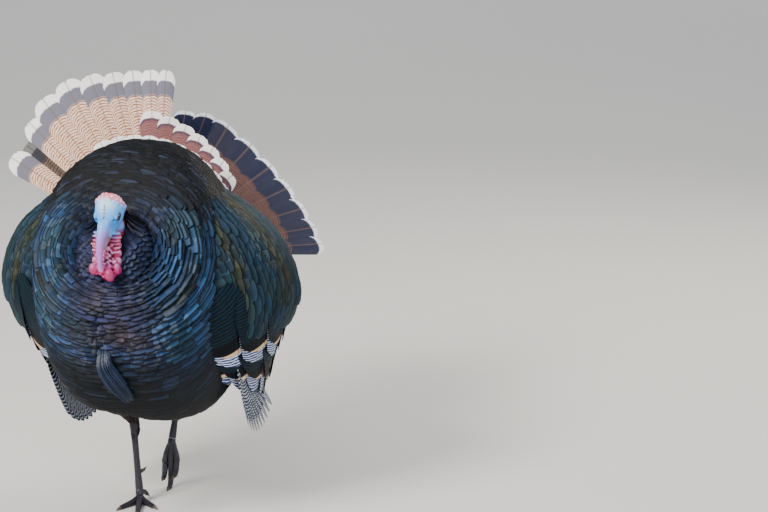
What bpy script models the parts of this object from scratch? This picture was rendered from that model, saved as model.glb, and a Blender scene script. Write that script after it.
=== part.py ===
"""A wild turkey gobbler in full strut, life size, as a still museum model.

Metres, +Z up.  The bird faces -Y and its own left side is at +X.  The origin is on the floor, under the middle
of the whole outline.  Each body part is one closed solid that reaches out to the tips of its feathers, and
neighbouring parts stand GAP apart.  The left foot trails in a slow step, with its toe tips on the floor.
"""

import math

import bmesh
import bpy
import numpy as np
from mathutils import Vector

# ---------------------------------------------------------------- driving dimensions, in metres
GAP = 0.0004  # clearance between neighbouring parts
ROLL = math.tan(math.radians(5))  # the body tips over the planted right leg
ROLL_HEIGHT = 0.55  # height that the tipping leaves in place
SHANK_RADIUS = 0.0066
KNUCKLE = 0.012  # from the middle of the ankle up to the end of the leg bone
HEAD_UNIT = 0.0012  # one step of the head's own measures, which are in parts of the skull
HEAD_PITCH = math.radians(46)  # how far the bill points below the horizon
HEAD_CENTRE = Vector((0.002, -0.200, 0.634))
TAIL_ROOT = np.array((-0.050, 0.200, 0.482))
TAIL_LEAN = math.radians(21)  # the fan leans back
LEFT_SWEEP = math.radians(28)  # its left half is also swept back behind the right one,
LEFT_TWIST = 0.9  # and swept by this much more for each further degree past LEFT_FLAT
LEFT_FLAT = math.radians(12)
RECTRICES = 9  # tail feathers in each half
TAIL_LENGTH = 0.386
WRIST = Vector((0.200, -0.110, 0.345))
PRIMARIES = 10
BEARD_ROOT = Vector((-0.018, -0.262, 0.376))

# The trunk's outline, seen from the side: pairs of points where one ring of the coat meets the back and the
# breast, as (y, z), from the base of the neck to the root of the tail, with the ring's half width.
TRUNK_BACK = (
    (-0.150, 0.585), (-0.112, 0.657), (-0.050, 0.709), (0.022, 0.731), (0.085, 0.725),
    (0.138, 0.690), (0.180, 0.634), (0.210, 0.580), (0.230, 0.532), (0.241, 0.502),
)
TRUNK_BREAST = (
    (-0.222, 0.542), (-0.256, 0.475), (-0.268, 0.385), (-0.242, 0.296), (-0.175, 0.230),
    (-0.070, 0.196), (0.060, 0.208), (0.160, 0.266), (0.218, 0.350), (0.241, 0.420),
)
CREASE = 0.06  # depth of the parting, as a share of the ring
TRUNK_HALF_WIDTH = (0.048, 0.108, 0.158, 0.186, 0.198, 0.198, 0.184, 0.146, 0.096, 0.050)

# The left wing's outer face, seen from outside: rows from the shoulder down, points from the leading edge back.
WING_NET = (
    (
        (0.100, -0.115, 0.580), (0.138, -0.068, 0.626), (0.140, 0.015, 0.645),
        (0.128, 0.105, 0.636), (0.092, 0.190, 0.590),
    ),
    (
        (0.150, -0.165, 0.515), (0.208, -0.108, 0.556), (0.244, -0.010, 0.572),
        (0.230, 0.100, 0.562), (0.175, 0.212, 0.525),
    ),
    (
        (0.160, -0.185, 0.430), (0.244, -0.122, 0.455), (0.292, -0.020, 0.465),
        (0.272, 0.100, 0.450), (0.208, 0.225, 0.415),
    ),
    (
        (0.150, -0.165, 0.345), (0.214, -0.112, 0.352), (0.254, -0.020, 0.356),
        (0.242, 0.090, 0.340), (0.204, 0.200, 0.310),
    ),
    (
        (0.150, -0.115, 0.300), (0.194, -0.082, 0.286), (0.216, 0.000, 0.272),
        (0.212, 0.072, 0.258), (0.190, 0.150, 0.240),
    ),
)
WING_EDGE = 0.004  # thickness at the feather tips
WING_FLESH = 0.070  # thickness over the arm, most of it sunk in the trunk


# ---------------------------------------------------------------- scene, materials and mesh helpers
def start_clean():
    """Empties the scene and makes one collection for the parts and one for the cutters."""
    for item in list(bpy.data.objects):
        bpy.data.objects.remove(item)
    for name in ("wild_turkey", "cutters"):
        bpy.context.scene.collection.children.link(bpy.data.collections.new(name))


def finish_of(name, rgb, roughness, metallic=0.0):
    """A plain Principled BSDF."""
    made = bpy.data.materials.new(name)
    made.use_nodes = True
    shader = made.node_tree.nodes["Principled BSDF"]
    shader.inputs["Base Color"].default_value = (*rgb, 1)
    shader.inputs["Roughness"].default_value = roughness
    shader.inputs["Metallic"].default_value = metallic
    made.diffuse_color = (*rgb, 1)
    return made


def add(name, mesh, material, collection="wild_turkey"):
    """Links a mesh as an object of that name, smooth apart from its sharp edges."""
    made = bpy.data.objects.new(name, mesh)
    bpy.data.collections[collection].objects.link(made)
    if material:
        mesh.materials.append(material)
    mesh.shade_smooth()
    mesh.set_sharp_from_angle(angle=math.radians(50))
    return made


def closed_mesh(name, points, faces):
    """A mesh of these points and faces, with its doubles merged and its faces turned outwards."""
    mesh = bpy.data.meshes.new(name)
    mesh.from_pydata([tuple(p) for p in points], [], faces)
    work = bmesh.new()
    work.from_mesh(mesh)
    bmesh.ops.remove_doubles(work, verts=work.verts, dist=0.00005)
    bmesh.ops.recalc_face_normals(work, faces=work.faces)
    work.to_mesh(mesh)
    work.free()
    return mesh


def loft(name, rings):
    """A closed skin over rings of equal length: quads between neighbours and a cap at each end."""
    count, around = len(rings), len(rings[0])
    points = [p for ring in rings for p in ring]
    faces = [
        (i * around + j, i * around + (j + 1) % around, (i + 1) * around + (j + 1) % around, (i + 1) * around + j)
        for i in range(count - 1)
        for j in range(around)
    ]
    faces.append(tuple(range(around)))
    faces.append(tuple((count - 1) * around + j for j in range(around)))
    return closed_mesh(name, points, faces)


def slab(name, front, back):
    """A closed plate between two equal grids of points, joined round its four edges."""
    rows, columns = front.shape[:2]
    points = np.concatenate([front.reshape(-1, 3), back.reshape(-1, 3)])
    other = rows * columns
    faces = []
    for i in range(rows - 1):
        for j in range(columns - 1):
            a, b, c, d = (
                i * columns + j, i * columns + j + 1, (i + 1) * columns + j + 1, (i + 1) * columns + j
            )
            faces += [(a, b, c, d), (other + d, other + c, other + b, other + a)]
    rim = [(0, j) for j in range(columns)] + [(i, columns - 1) for i in range(1, rows)]
    rim += [(rows - 1, j) for j in range(columns - 2, -1, -1)] + [(i, 0) for i in range(rows - 2, 0, -1)]
    flat = [i * columns + j for i, j in rim]
    for a, b in zip(flat, flat[1:] + flat[:1]):
        faces.append((b, a, other + a, other + b))
    return closed_mesh(name, points, faces)


def smooth_line(points, steps):
    """`steps` points read evenly from a Catmull-Rom curve through the given ones, of any width."""
    known = np.array(points, float)
    if known.ndim == 1:
        known = known[:, None]
    padded = np.vstack([2 * known[0] - known[1], known, 2 * known[-1] - known[-2]])
    t = np.linspace(0, len(known) - 1, steps)
    i = np.minimum(t.astype(int), len(known) - 2)
    f = (t - i)[:, None]
    a, b, c, d = (padded[i + k] for k in range(4))
    return 0.5 * (2 * b + (c - a) * f + (2 * a - 5 * b + 4 * c - d) * f**2 + (3 * b - a - 3 * c + d) * f**3)


def tube(name, path, radii, around=12, flatten=1.0):
    """A loft of rounds along a path. `flatten` scales each round across the bend."""
    path = np.array(path, float)
    along = np.gradient(path, axis=0)
    along /= np.linalg.norm(along, axis=1)[:, None]
    side = np.cross(along, (0.0, 0.0, 1.0) if abs(along[:, 2]).mean() < 0.8 else (0.0, 1.0, 0.0))
    side /= np.linalg.norm(side, axis=1)[:, None]
    over = np.cross(side, along)
    turn = np.arange(around) * 2 * math.pi / around
    rings = [
        p + r * (np.cos(turn)[:, None] * s + flatten * np.sin(turn)[:, None] * o)
        for p, r, s, o in zip(path, radii, side, over)
    ]
    return loft(name, rings)


def boolean(target, other, operation):
    """Adds an exact Boolean and applies it, so that the next cut starts from a plain mesh."""
    modifier = target.modifiers.new(operation.lower(), "BOOLEAN")
    modifier.operation = operation
    modifier.object = other
    settle(target)


def settle(obj):
    """Puts the object's modified shape in its own mesh."""
    graph = bpy.context.evaluated_depsgraph_get()
    mesh = bpy.data.meshes.new_from_object(obj.evaluated_get(graph))
    obj.modifiers.clear()
    obj.data = mesh


def swollen(obj, by=GAP):
    """A cutter: a copy of a part, grown outwards by the clearance."""
    mesh = obj.data.copy()
    work = bmesh.new()
    work.from_mesh(mesh)
    work.normal_update()
    moves = [(v, v.normal.copy() * by * min(v.calc_shell_factor(), 3.0)) for v in work.verts]
    for vert, move in moves:
        vert.co += move
    work.to_mesh(mesh)
    work.free()
    cutter = bpy.data.objects.new(obj.name + "_cutter", mesh)
    bpy.data.collections["cutters"].objects.link(cutter)
    cutter.hide_render = True
    cutter.display_type = "WIRE"
    return cutter


def make_room(target, *neighbours, by=GAP):
    """Cuts the target back from each neighbour, with the clearance between them."""
    for neighbour in neighbours:
        boolean(target, swollen(neighbour, by), "DIFFERENCE")
    keep_largest(target)


def keep_largest(obj):
    """Deletes the slivers that a cut left behind, so that the part stays one body."""
    work = bmesh.new()
    work.from_mesh(obj.data)
    left = set(work.verts)
    bodies = []
    while left:
        body, edge = set(), [next(iter(left))]
        while edge:
            vert = edge.pop()
            if vert in left:
                left.discard(vert)
                body.add(vert)
                edge += [e.other_vert(vert) for e in vert.link_edges]
        bodies.append(body)
    largest = max(bodies, key=len)
    bmesh.ops.delete(work, geom=[v for v in work.verts if v not in largest], context="VERTS")
    work.to_mesh(obj.data)
    work.free()


def lean(*objects):
    """Tips whole parts sideways, as the body leans over the planted leg."""
    for obj in objects:
        for vert in obj.data.vertices:
            vert.co.x -= ROLL * (vert.co.z - ROLL_HEIGHT)


def mirrored(points, side):
    """Points of the left side, or their mirror image for the right."""
    return np.array(points, float) * ((1, 1, 1) if side == "left" else (-1, 1, 1))


# ---------------------------------------------------------------- trunk and neck
def trunk_rings(count, around):
    """Rounds that hang between the back line and the breast line, like slices of the body.

    They are fuller than ellipses, above all below."""
    back, breast = smooth_line(TRUNK_BACK, count), smooth_line(TRUNK_BREAST, count)
    half = smooth_line(TRUNK_HALF_WIDTH, count)[:, 0]
    turn = np.arange(around) * 2 * math.pi / around
    sine, cosine = np.sin(turn), np.cos(turn)
    fullness = np.sign(sine) * abs(sine) ** np.where(cosine > 0, 0.82, 0.66)
    rings = []
    for share, top, low, wide in zip(np.linspace(0, 1, count), back, breast, half):
        middle, up = (top + low) / 2, (top - low) / 2
        # A parting runs down the middle of the breast.
        crease = 1 - CREASE * math.exp(-(((share - 0.17) / 0.10) ** 2)) * np.exp(-(((turn - math.pi) / 0.16) ** 2))
        reach = cosine * crease
        rings.append(np.stack([wide * fullness, middle[0] + reach * up[0], middle[1] + reach * up[1]], axis=1))
    return rings


def make_trunk(material):
    """The whole feathered body, from the base of the neck to the root of the tail."""
    return add("trunk", loft("trunk", trunk_rings(21, 22)), material)


def make_neck(material):
    """The bare neck, bent back in an S, from inside the ruff up to the skull."""
    path = smooth_line(((-0.200, 0.480), (-0.192, 0.522), (-0.178, 0.562), (-0.176, 0.600), (-0.186, 0.628)), 8)
    path = [(0, y, z) for y, z in path]
    radii = smooth_line((0.040, 0.036, 0.031, 0.027, 0.020), 8)[:, 0]
    return add("neck", tube("neck", path, radii, 14, 1.1), material)


# ---------------------------------------------------------------- head
def head_point(forward, side, up):
    """A place in the head's own frame, in metres: forward along the bill, to the bird's left, and up."""
    c, s = math.cos(HEAD_PITCH), math.sin(HEAD_PITCH)
    return HEAD_CENTRE + Vector((side, -forward * c - up * s, -forward * s + up * c))


def head_rings(stations, around):
    """Egg-shaped rounds at (forward, half width, height above, depth below) stations."""
    turn = np.arange(around) * 2 * math.pi / around
    rings = []
    for forward, wide, above, below in stations:
        ring = []
        for a in turn:
            up = math.cos(a) * (above if math.cos(a) > 0 else below)
            ring.append(tuple(head_point(forward, math.sin(a) * wide, up)))
        rings.append(ring)
    return rings


def make_head(material):
    """The skull with its bare skin, from the nape to the root of the bill."""
    stations = [
        (-37, 6, 6, 8), (-34, 13, 12, 16), (-28, 18.5, 18, 22), (-18, 22.5, 22.5, 25.5), (-6, 23.5, 24, 26),
        (6, 21.5, 22, 24.5), (17, 17.5, 18.5, 21), (27, 13.5, 14.5, 17), (34, 10, 11, 13), (37, 8.6, 9.4, 11),
    ]
    stations = [tuple(v * HEAD_UNIT for v in s) for s in stations]
    return add("head", loft("head", head_rings(stations, 18)), material)


def make_bill(material):
    """The two halves of the bill. The upper one hooks down over the lower."""
    upper = [
        (37.6, 8.2, 8.6, -1.2), (46, 7.2, 7.4, -0.9), (55, 5.4, 4.8, 0.6), (62, 3.2, 1.2, 3.6), (66, 1.2, -3.6, 6.2),
    ]
    lower = [(37.6, 7.4, -1.8, 9.6), (46, 6.2, -2.0, 7.6), (54, 4.2, -2.6, 6.0), (59, 1.6, -4.4, 5.4)]
    turn = np.arange(12) * math.pi / 6
    made = []
    for name, stations in (("bill_upper", upper), ("bill_lower", lower)):
        rings = []
        for forward, wide, above, below in (tuple(v * HEAD_UNIT for v in s) for s in stations):
            middle, high = (above - below) / 2, (above + below) / 2
            rings.append([
                tuple(head_point(forward, math.sin(a) * wide, middle + math.cos(a) * high)) for a in turn
            ])
        made.append(add(name, loft(name, rings), material))
    return made


def make_eyes(material):
    """A ball on each side, set into the skull."""
    made = []
    for name, side in (("eye_left", 1), ("eye_right", -1)):
        work = bmesh.new()
        bmesh.ops.create_uvsphere(work, u_segments=10, v_segments=7, radius=5.9 * HEAD_UNIT)
        place = head_point(7.5 * HEAD_UNIT, side * 15.6 * HEAD_UNIT, 6.5 * HEAD_UNIT)
        bmesh.ops.translate(work, verts=work.verts, vec=place)
        mesh = bpy.data.meshes.new(name)
        work.to_mesh(mesh)
        work.free()
        made.append(add(name, mesh, material))
    return made


def make_snood(material):
    """The fleshy finger that hangs from the forehead, down over the bill and past its tip."""
    places = [head_point(f * HEAD_UNIT, s * HEAD_UNIT, u * HEAD_UNIT)
              for f, s, u in ((22, 0, 9), (30, 0, 16), (41, -1, 15.5), (53, -2.5, 13.0))]
    last = places[-1]
    places += [last + Vector((-0.002, -0.010, -0.026)), last + Vector((-0.003, -0.014, -0.060))]
    radii = smooth_line((0.0100, 0.0112, 0.0102, 0.0086, 0.0068, 0.0045), 10)[:, 0]
    return add("snood", tube("snood", smooth_line(places, 10), radii, 10), material)


def make_caruncles(material):
    """The knobbed skin down the throat: columns of small balls over the large ones at the bottom."""
    balls = [((side * (0.018 + 0.001 * row), -0.212 - 0.007 * row, 0.594 - 0.0145 * row), 0.0120)
             for row in range(5) for side in (-1, 1)]
    balls += [((0, -0.219 - 0.006 * row, 0.588 - 0.0150 * row), 0.0140) for row in range(5)]
    balls += [((-0.020, -0.256, 0.534), 0.0115), ((0.013, -0.262, 0.526), 0.0150), ((0.029, -0.248, 0.532), 0.0100)]
    work = bmesh.new()
    for place, radius in balls:
        made = bmesh.ops.create_uvsphere(work, u_segments=10, v_segments=7, radius=radius)
        bmesh.ops.translate(work, verts=made["verts"], vec=place)
    mesh = bpy.data.meshes.new("caruncles")
    work.to_mesh(mesh)
    work.free()
    knobs = add("caruncles", mesh, material)
    fuse = knobs.modifiers.new("fuse", "REMESH")
    fuse.mode = "VOXEL"
    fuse.voxel_size = 0.0082
    settle(knobs)
    knobs.data.materials.clear()
    knobs.data.materials.append(material)
    return knobs


def make_beard(material):
    """The tuft of bristles that hangs from the breast, close against the belly."""
    root = BEARD_ROOT
    path = smooth_line((root, root + Vector((0.005, -0.022, -0.026)), root + Vector((0.020, -0.016, -0.062)),
                        root + Vector((0.038, 0.012, -0.098))), 8)
    radii = smooth_line((0.012, 0.018, 0.024, 0.018), 8)[:, 0]
    return add("beard", tube("beard", path, radii, 12, 0.55), material)


# ---------------------------------------------------------------- tail
def fan_point(half, angle, radius, lift):
    """A point of the fan: `radius` from its root at `angle` to the bird's left, and `lift` in front of its plane."""
    lean = TAIL_LEAN + 0 * angle
    if half == "left":
        lean = lean + LEFT_SWEEP + LEFT_TWIST * np.maximum(angle - LEFT_FLAT, 0)
    none = np.zeros_like(lean)
    outward = np.stack([np.sin(angle), np.cos(angle) * np.sin(lean), np.cos(angle) * np.cos(lean)], axis=-1)
    front = np.stack([none, -np.cos(lean), np.sin(lean)], axis=-1)
    return TAIL_ROOT + outward * radius[..., None] + np.broadcast_to(lift, radius.shape)[..., None] * front


def feather_plate(name, half, edges, reach, start, lift, thick, material, step=0.003, across=4):
    """A ring of overlapping feathers as one plate: round tips, and a small step from each to the next.

    `edges` are the angles between one feather and the next, and `reach` is each feather's length."""
    angle, tip, rise = [], [], []
    for low, high, length in zip(edges[:-1], edges[1:], reach):
        share = np.linspace(0.03, 0.97, across)
        angle.append(low + (high - low) * share)
        tip.append(length * (1 - 0.045 * abs(2 * share - 1) ** 4))
        rise.append(step * (share - 0.5))
    angle, tip, rise = (np.concatenate(x) for x in (angle, tip, rise))
    shares = np.array(((0.0,), (1.0,)))
    radius = start + (tip - start) * shares
    angle = np.broadcast_to(angle, radius.shape)
    lift = lift + rise * shares
    front = fan_point(half, angle, radius, lift)
    back = fan_point(half, angle, radius, lift - thick)
    return add(name, slab(name, front, back), material)


def fan_edges(half):
    """The angles between the tail feathers: close together in the middle, wide apart at the sides."""
    steps = np.linspace(0, 1, RECTRICES + 1)
    if half == "right":
        return -np.radians(-6 + 42 * steps + 28 * steps**2)
    return np.radians(-2 + 64 * steps)


def make_tail(fan_material, covert_material):
    """The two halves of the fan, the coverts in front of them, and the skirt of coverts behind and below."""
    halves, rows = [], []
    for half in ("right", "left"):
        edges = fan_edges(half)
        middle = abs(np.degrees(edges[1:] + edges[:-1]) / 2)
        longer = 0.028 * np.exp(-(((middle - 33) / 14) ** 2)) if half == "right" else -0.004
        reach = TAIL_LENGTH + longer - 0.012 * (middle / 60) ** 6
        halves.append(feather_plate(f"tail_{half}", half, edges, reach, 0.030, 0.0, 0.003, fan_material))
    for name, low, high, count, length, taper, lift in (
        ("tail_coverts_long", -5, 51, 7, 0.294, 0.068, 0.0085),
        ("tail_coverts_short", -32, 55, 10, 0.238, 0.028, 0.0165),
    ):
        edges = np.radians(np.linspace(low, high, count + 1))
        reach = length - taper * (edges[1:] + edges[:-1]) / 2
        rows.append(feather_plate(name, "right", edges, reach, 0.034, lift, 0.003, covert_material, 0.0025))
    rows.append(make_skirt(np.radians(np.linspace(84, 276, 13)), covert_material))
    return halves, rows


def make_skirt(angles, material):
    """Under-tail coverts: a dome of soft feathers over the vent, below the root of the fan."""
    left, up = np.array((1.0, 0.0, 0.0)), np.array((0.0, math.sin(TAIL_LEAN), math.cos(TAIL_LEAN)))
    front = np.cross(left, up)
    shares = np.linspace(0, 1, 6)[:, None]
    length = 0.180 + 0.010 * np.cos(angles * 3)
    radius = 0.010 + (length - 0.010) * shares
    dish = 0.060 + 0.022 * np.sin(shares * math.pi * 0.75) - 0.008 * shares + 0 * radius
    outward = np.sin(angles)[None, :, None] * left + np.cos(angles)[None, :, None] * up
    back = TAIL_ROOT + np.array((0.030, 0, 0)) + outward * radius[..., None] - front * dish[..., None]
    near = back + front * (0.004 + 0.090 * (1 - shares))[..., None]
    return add("tail_coverts_under", slab("tail_coverts_under", near, back), material)


# ---------------------------------------------------------------- wings
def make_wing(side, material):
    """The folded arm with its coverts and secondaries: a bowed plate, thick over the arm, thin at the tips."""
    rows = np.array([smooth_line(row, 9) for row in WING_NET])
    net = np.array([smooth_line(rows[:, j], 13) for j in range(rows.shape[1])]).transpose(1, 0, 2)
    net[1::2, -1] += (0.003, 0.012, -0.004)  # tips of the feathers stand out from the edge
    net[-1, 1::2] += (0, 0, -0.010)
    down, back = np.meshgrid(np.linspace(0, 1, 13), np.linspace(0, 1, 9), indexing="ij")
    flesh = (1 - down**2) * (1 - back**2.2)
    thick = WING_EDGE + (WING_FLESH - WING_EDGE) * flesh
    inner = net - thick[..., None] * np.array((1, 0, 0))
    return add(f"wing_{side}", slab(f"wing_{side}", mirrored(net, side), mirrored(inner, side)), material)


def make_primaries(side, material):
    """The long flight feathers, lowered and half spread from the wrist, as one stepped plate."""
    across, shares = 3, np.array((0.0, 1.0))
    angle, length, step = [], [], []
    for k in range(PRIMARIES):
        share = np.linspace(0.05, 0.95, across)
        turn = (k + share) / PRIMARIES
        angle.append(np.radians(24 + 36 * turn))
        reach = 0.165 + 0.175 * ((k + 0.5) / PRIMARIES) ** 0.75
        length.append(reach * (1 - 0.07 * abs(2 * share - 1) ** 2))
        step.append(0.002 * (share - 0.5))
    angle, length, step = (np.concatenate(x) for x in (angle, length, step))
    radius = 0.020 + (length - 0.020) * shares[:, None]
    x = WRIST.x - 0.020 * radius / 0.3 + step * shares[:, None]
    y = WRIST.y + radius * np.sin(angle)
    z = WRIST.z - radius * np.cos(angle)
    outer = np.stack([x, y, z], axis=2)
    inner = outer - np.array((0.0025, 0, 0))
    name = f"primaries_{side}"
    return add(name, slab(name, mirrored(outer, side), mirrored(inner, side)), material)


# ---------------------------------------------------------------- legs
HOCKS = {"right": Vector((-0.034, 0.004, 0.166)), "left": Vector((0.032, 0.134, 0.230))}
ANKLES = {"right": Vector((-0.012, -0.030, 0.016)), "left": Vector((0.021, 0.086, 0.092))}
KNEES = {"right": Vector((-0.075, -0.062, 0.285)), "left": Vector((0.098, -0.010, 0.262))}


def make_thigh(side, material):
    """The feathered drumstick, from the flank to just above the hock."""
    hock, knee = HOCKS[side], KNEES[side]
    path = smooth_line((knee, knee.lerp(hock, 0.5) + Vector((0, 0.004, 0)), hock.lerp(knee, 0.04)), 9)
    radii = smooth_line((0.066, 0.044, 0.0120), 9)[:, 0]
    return add(f"thigh_{side}", tube(f"thigh_{side}", path, radii, 14, 1.15), material)


def ankle_top(side, clear=0.0):
    """Where the foot's knuckle ends and the leg bone begins."""
    hock, ankle = HOCKS[side], ANKLES[side]
    return ankle + (hock - ankle).normalized() * (KNUCKLE + clear)


def make_shank(side, material):
    """The scaled leg bone from the hock to the foot, with a knuckle at each end."""
    hock, ankle = HOCKS[side], ankle_top(side, GAP)
    path = [hock.lerp(ankle, t) for t in (0, 0.08, 0.22, 0.5, 0.78, 0.93, 1)]
    radii = SHANK_RADIUS * np.array((1.25, 1.32, 1.05, 0.97, 1.02, 1.2, 1.2))
    return add(f"shank_{side}", tube(f"shank_{side}", path, radii, 12, 1.15), material)


def toe_paths(side):
    """Routes of the four toes, from the ankle to the claw's root, then the claw's tip, as lists of points.

    The right foot is planted flat.  The left one hangs by its closed toes, whose last joints rest on the floor."""
    ankle = ANKLES[side]
    paths = {}
    if side == "right":
        for name, turn, length, claw in (
            ("inner", 50, 0.052, 0.014), ("middle", 14, 0.076, 0.016), ("outer", -24, 0.058, 0.014)
        ):
            way = Vector((math.sin(math.radians(turn)), -math.cos(math.radians(turn)), 0))
            route = [ankle + Vector((0, 0, -0.001))]
            route += [Vector((ankle.x, ankle.y, 0)) + way * length * t + Vector((0, 0, h))
                      for t, h in ((0.22, 0.0078), (0.50, 0.0052), (0.78, 0.0046), (1.0, 0.0038))]
            paths[name] = (route, route[-1] + way * claw + Vector((0, 0, -0.0024)))
        way = Vector((0.22, 1, 0)).normalized()
        route = [ankle + Vector((0.001, 0.003, 0.004)), ankle + way * 0.016 + Vector((0, 0, 0.003)),
                 ankle + way * 0.028 + Vector((0, 0, -0.006))]
        paths["hind"] = (route, ankle + way * 0.039 + Vector((0, 0, -0.0150)))
        return paths
    for name, across, length, claw in (
        ("inner", 0.0125, 0.068, 0.012), ("middle", 0.0, 0.092, 0.014), ("outer", -0.0125, 0.074, 0.012)
    ):
        low = 0.0031 if name == "middle" else 0.092 - length + 0.006
        route = [ankle + Vector((across * 0.3, 0, -0.001)), ankle + Vector((across, -0.004, -length * 0.38)),
                 Vector((ankle.x + across, ankle.y - 0.006, low + 0.022)),
                 Vector((ankle.x + across, ankle.y - 0.013, low + 0.003)),
                 Vector((ankle.x + across * 0.9, ankle.y - 0.024, low))]
        paths[name] = (route, route[-1] + Vector((0, -claw, -0.0028)))
    route = [ankle + Vector((0.001, 0.003, 0.003)), ankle + Vector((0.002, 0.014, -0.004)),
             ankle + Vector((0.002, 0.019, -0.020))]
    paths["hind"] = (route, ankle + Vector((0.002, 0.017, -0.032)))
    return paths


def make_foot(side, material, claw_material):
    """Four toes grown together at the ankle, with flat soles at floor level, and a claw on each."""
    top, claws = ankle_top(side), []
    knuckle = [top.lerp(ANKLES[side], t) for t in (0, 0.35, 0.9, 1.3)]
    foot = add(f"foot_{side}", tube("foot", knuckle, (0.0078, 0.0086, 0.0084, 0.0062), 10, 1.15), material)
    for name, (route, tip) in toe_paths(side).items():
        steps = 7 if name != "hind" else 4
        line = smooth_line(route, steps)
        radii = smooth_line((0.0060, 0.0068, 0.0060, 0.0050) if name != "hind" else (0.0045, 0.0052, 0.0045), steps)
        toe = add(f"toe_{name}_{side}", tube("toe", line, radii[:, 0], 8), material)
        root = Vector(line[-1]).lerp(tip, 0.06)
        claw = add(f"claw_{name}_{side}",
                   tube("claw", [root, root.lerp(tip, 0.5) + Vector((0, 0, 0.0008)), tip], (0.0036, 0.0026, 0.0007), 6),
                   claw_material)
        claws.append(claw)
        boolean(foot, toe, "UNION")
        bpy.data.objects.remove(toe)
    make_room(foot, *claws)
    return foot, claws


def make_spur(side, material):
    """The short spur low on the inner back of the leg."""
    hock, ankle = HOCKS[side], ANKLES[side]
    inward = 1 if side == "right" else -1
    root = ankle.lerp(hock, 0.30) + Vector((inward * 0.003, 0.005, 0))
    path = [root, root + Vector((inward * 0.005, 0.010, 0.001)), root + Vector((inward * 0.008, 0.017, 0.005))]
    return add(f"spur_{side}", tube(f"spur_{side}", path, (0.0048, 0.0034, 0.0008), 8), material)


def cut_at_floor(objects):
    """Cuts the feet off at the floor, which gives them small flat soles at one level."""
    work = bmesh.new()
    bmesh.ops.create_cube(work, size=1.0)
    bmesh.ops.translate(work, verts=work.verts, vec=(0, 0, -0.5))
    mesh = bpy.data.meshes.new("floor_cutter")
    work.to_mesh(mesh)
    work.free()
    floor = bpy.data.objects.new("floor_cutter", mesh)
    bpy.data.collections["cutters"].objects.link(floor)
    floor.hide_render = True
    for obj in objects:
        boolean(obj, floor, "DIFFERENCE")


# ---------------------------------------------------------------- the whole bird
def centre_on_origin():
    """Moves every part together, so that the middle of the outline stands over the origin."""
    parts = bpy.data.collections["wild_turkey"].objects
    corners = np.array([v.co for obj in parts for v in obj.data.vertices])
    middle = (corners.min(axis=0) + corners.max(axis=0)) / 2
    for obj in parts:
        obj.location = (-middle[0], -middle[1], 0)


def main():
    start_clean()
    coat = finish_of("dark contour feathers", (0.022, 0.026, 0.030), 0.42, 0.3)
    vane = finish_of("barred flight feathers", (0.16, 0.12, 0.09), 0.50)
    barred = finish_of("barred wing feathers", (0.12, 0.11, 0.11), 0.50)
    bare = finish_of("bare blue skin", (0.45, 0.62, 0.78), 0.45)
    red = finish_of("red caruncled skin", (0.62, 0.08, 0.10), 0.42)
    snood_skin = finish_of("pale snood skin", (0.60, 0.42, 0.52), 0.42)
    horn = finish_of("horn", (0.22, 0.17, 0.13), 0.40)
    scaled = finish_of("leg scales", (0.20, 0.11, 0.09), 0.50)
    wet = finish_of("eye", (0.015, 0.010, 0.008), 0.08)
    bristle = finish_of("beard bristles", (0.020, 0.020, 0.024), 0.50)

    trunk = make_trunk(coat)
    neck = make_neck(red)
    head = make_head(bare)
    bill_upper, bill_lower = make_bill(horn)
    eyes = make_eyes(wet)
    snood = make_snood(snood_skin)
    caruncles = make_caruncles(red)
    beard = make_beard(bristle)
    (fan_right, fan_left), coverts = make_tail(vane, coat)
    lean(trunk, neck, head, bill_upper, bill_lower, *eyes, snood, caruncles, beard, fan_right, fan_left, *coverts)

    make_room(head, *eyes)
    make_room(neck, trunk, head, caruncles)
    make_room(snood, head, bill_upper, bill_lower)
    make_room(caruncles, trunk, head, bill_upper, bill_lower, snood)
    make_room(beard, trunk)
    for piece in (fan_right, fan_left, *coverts):
        make_room(piece, trunk)

    soles = []
    for side in ("left", "right"):
        wing = make_wing(side, barred)
        primaries = make_primaries(side, barred)
        lean(wing, primaries)
        make_room(wing, trunk, fan_right, fan_left, *coverts, by=2 * GAP)
        make_room(primaries, wing, trunk)
        thigh = make_thigh(side, coat)
        make_room(thigh, trunk)
        shank = make_shank(side, scaled)
        foot, claws = make_foot(side, scaled, horn)
        spur = make_spur(side, horn)
        make_room(thigh, shank)
        make_room(shank, trunk)
        make_room(spur, shank)
        make_room(primaries, thigh)
        soles += [foot, *claws]
    cut_at_floor(soles)
    centre_on_origin()


main()
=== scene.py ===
"""A wild turkey gobbler in full strut, as a still life-size model: its skin, its feathers and its studio.

Metres, +Z up. The bird faces -Y and its own left side is at +X. Shapes are worked out upright, in the bird's
own frame, and `stand` then tips and moves them on to the part.
"""

import math

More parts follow.
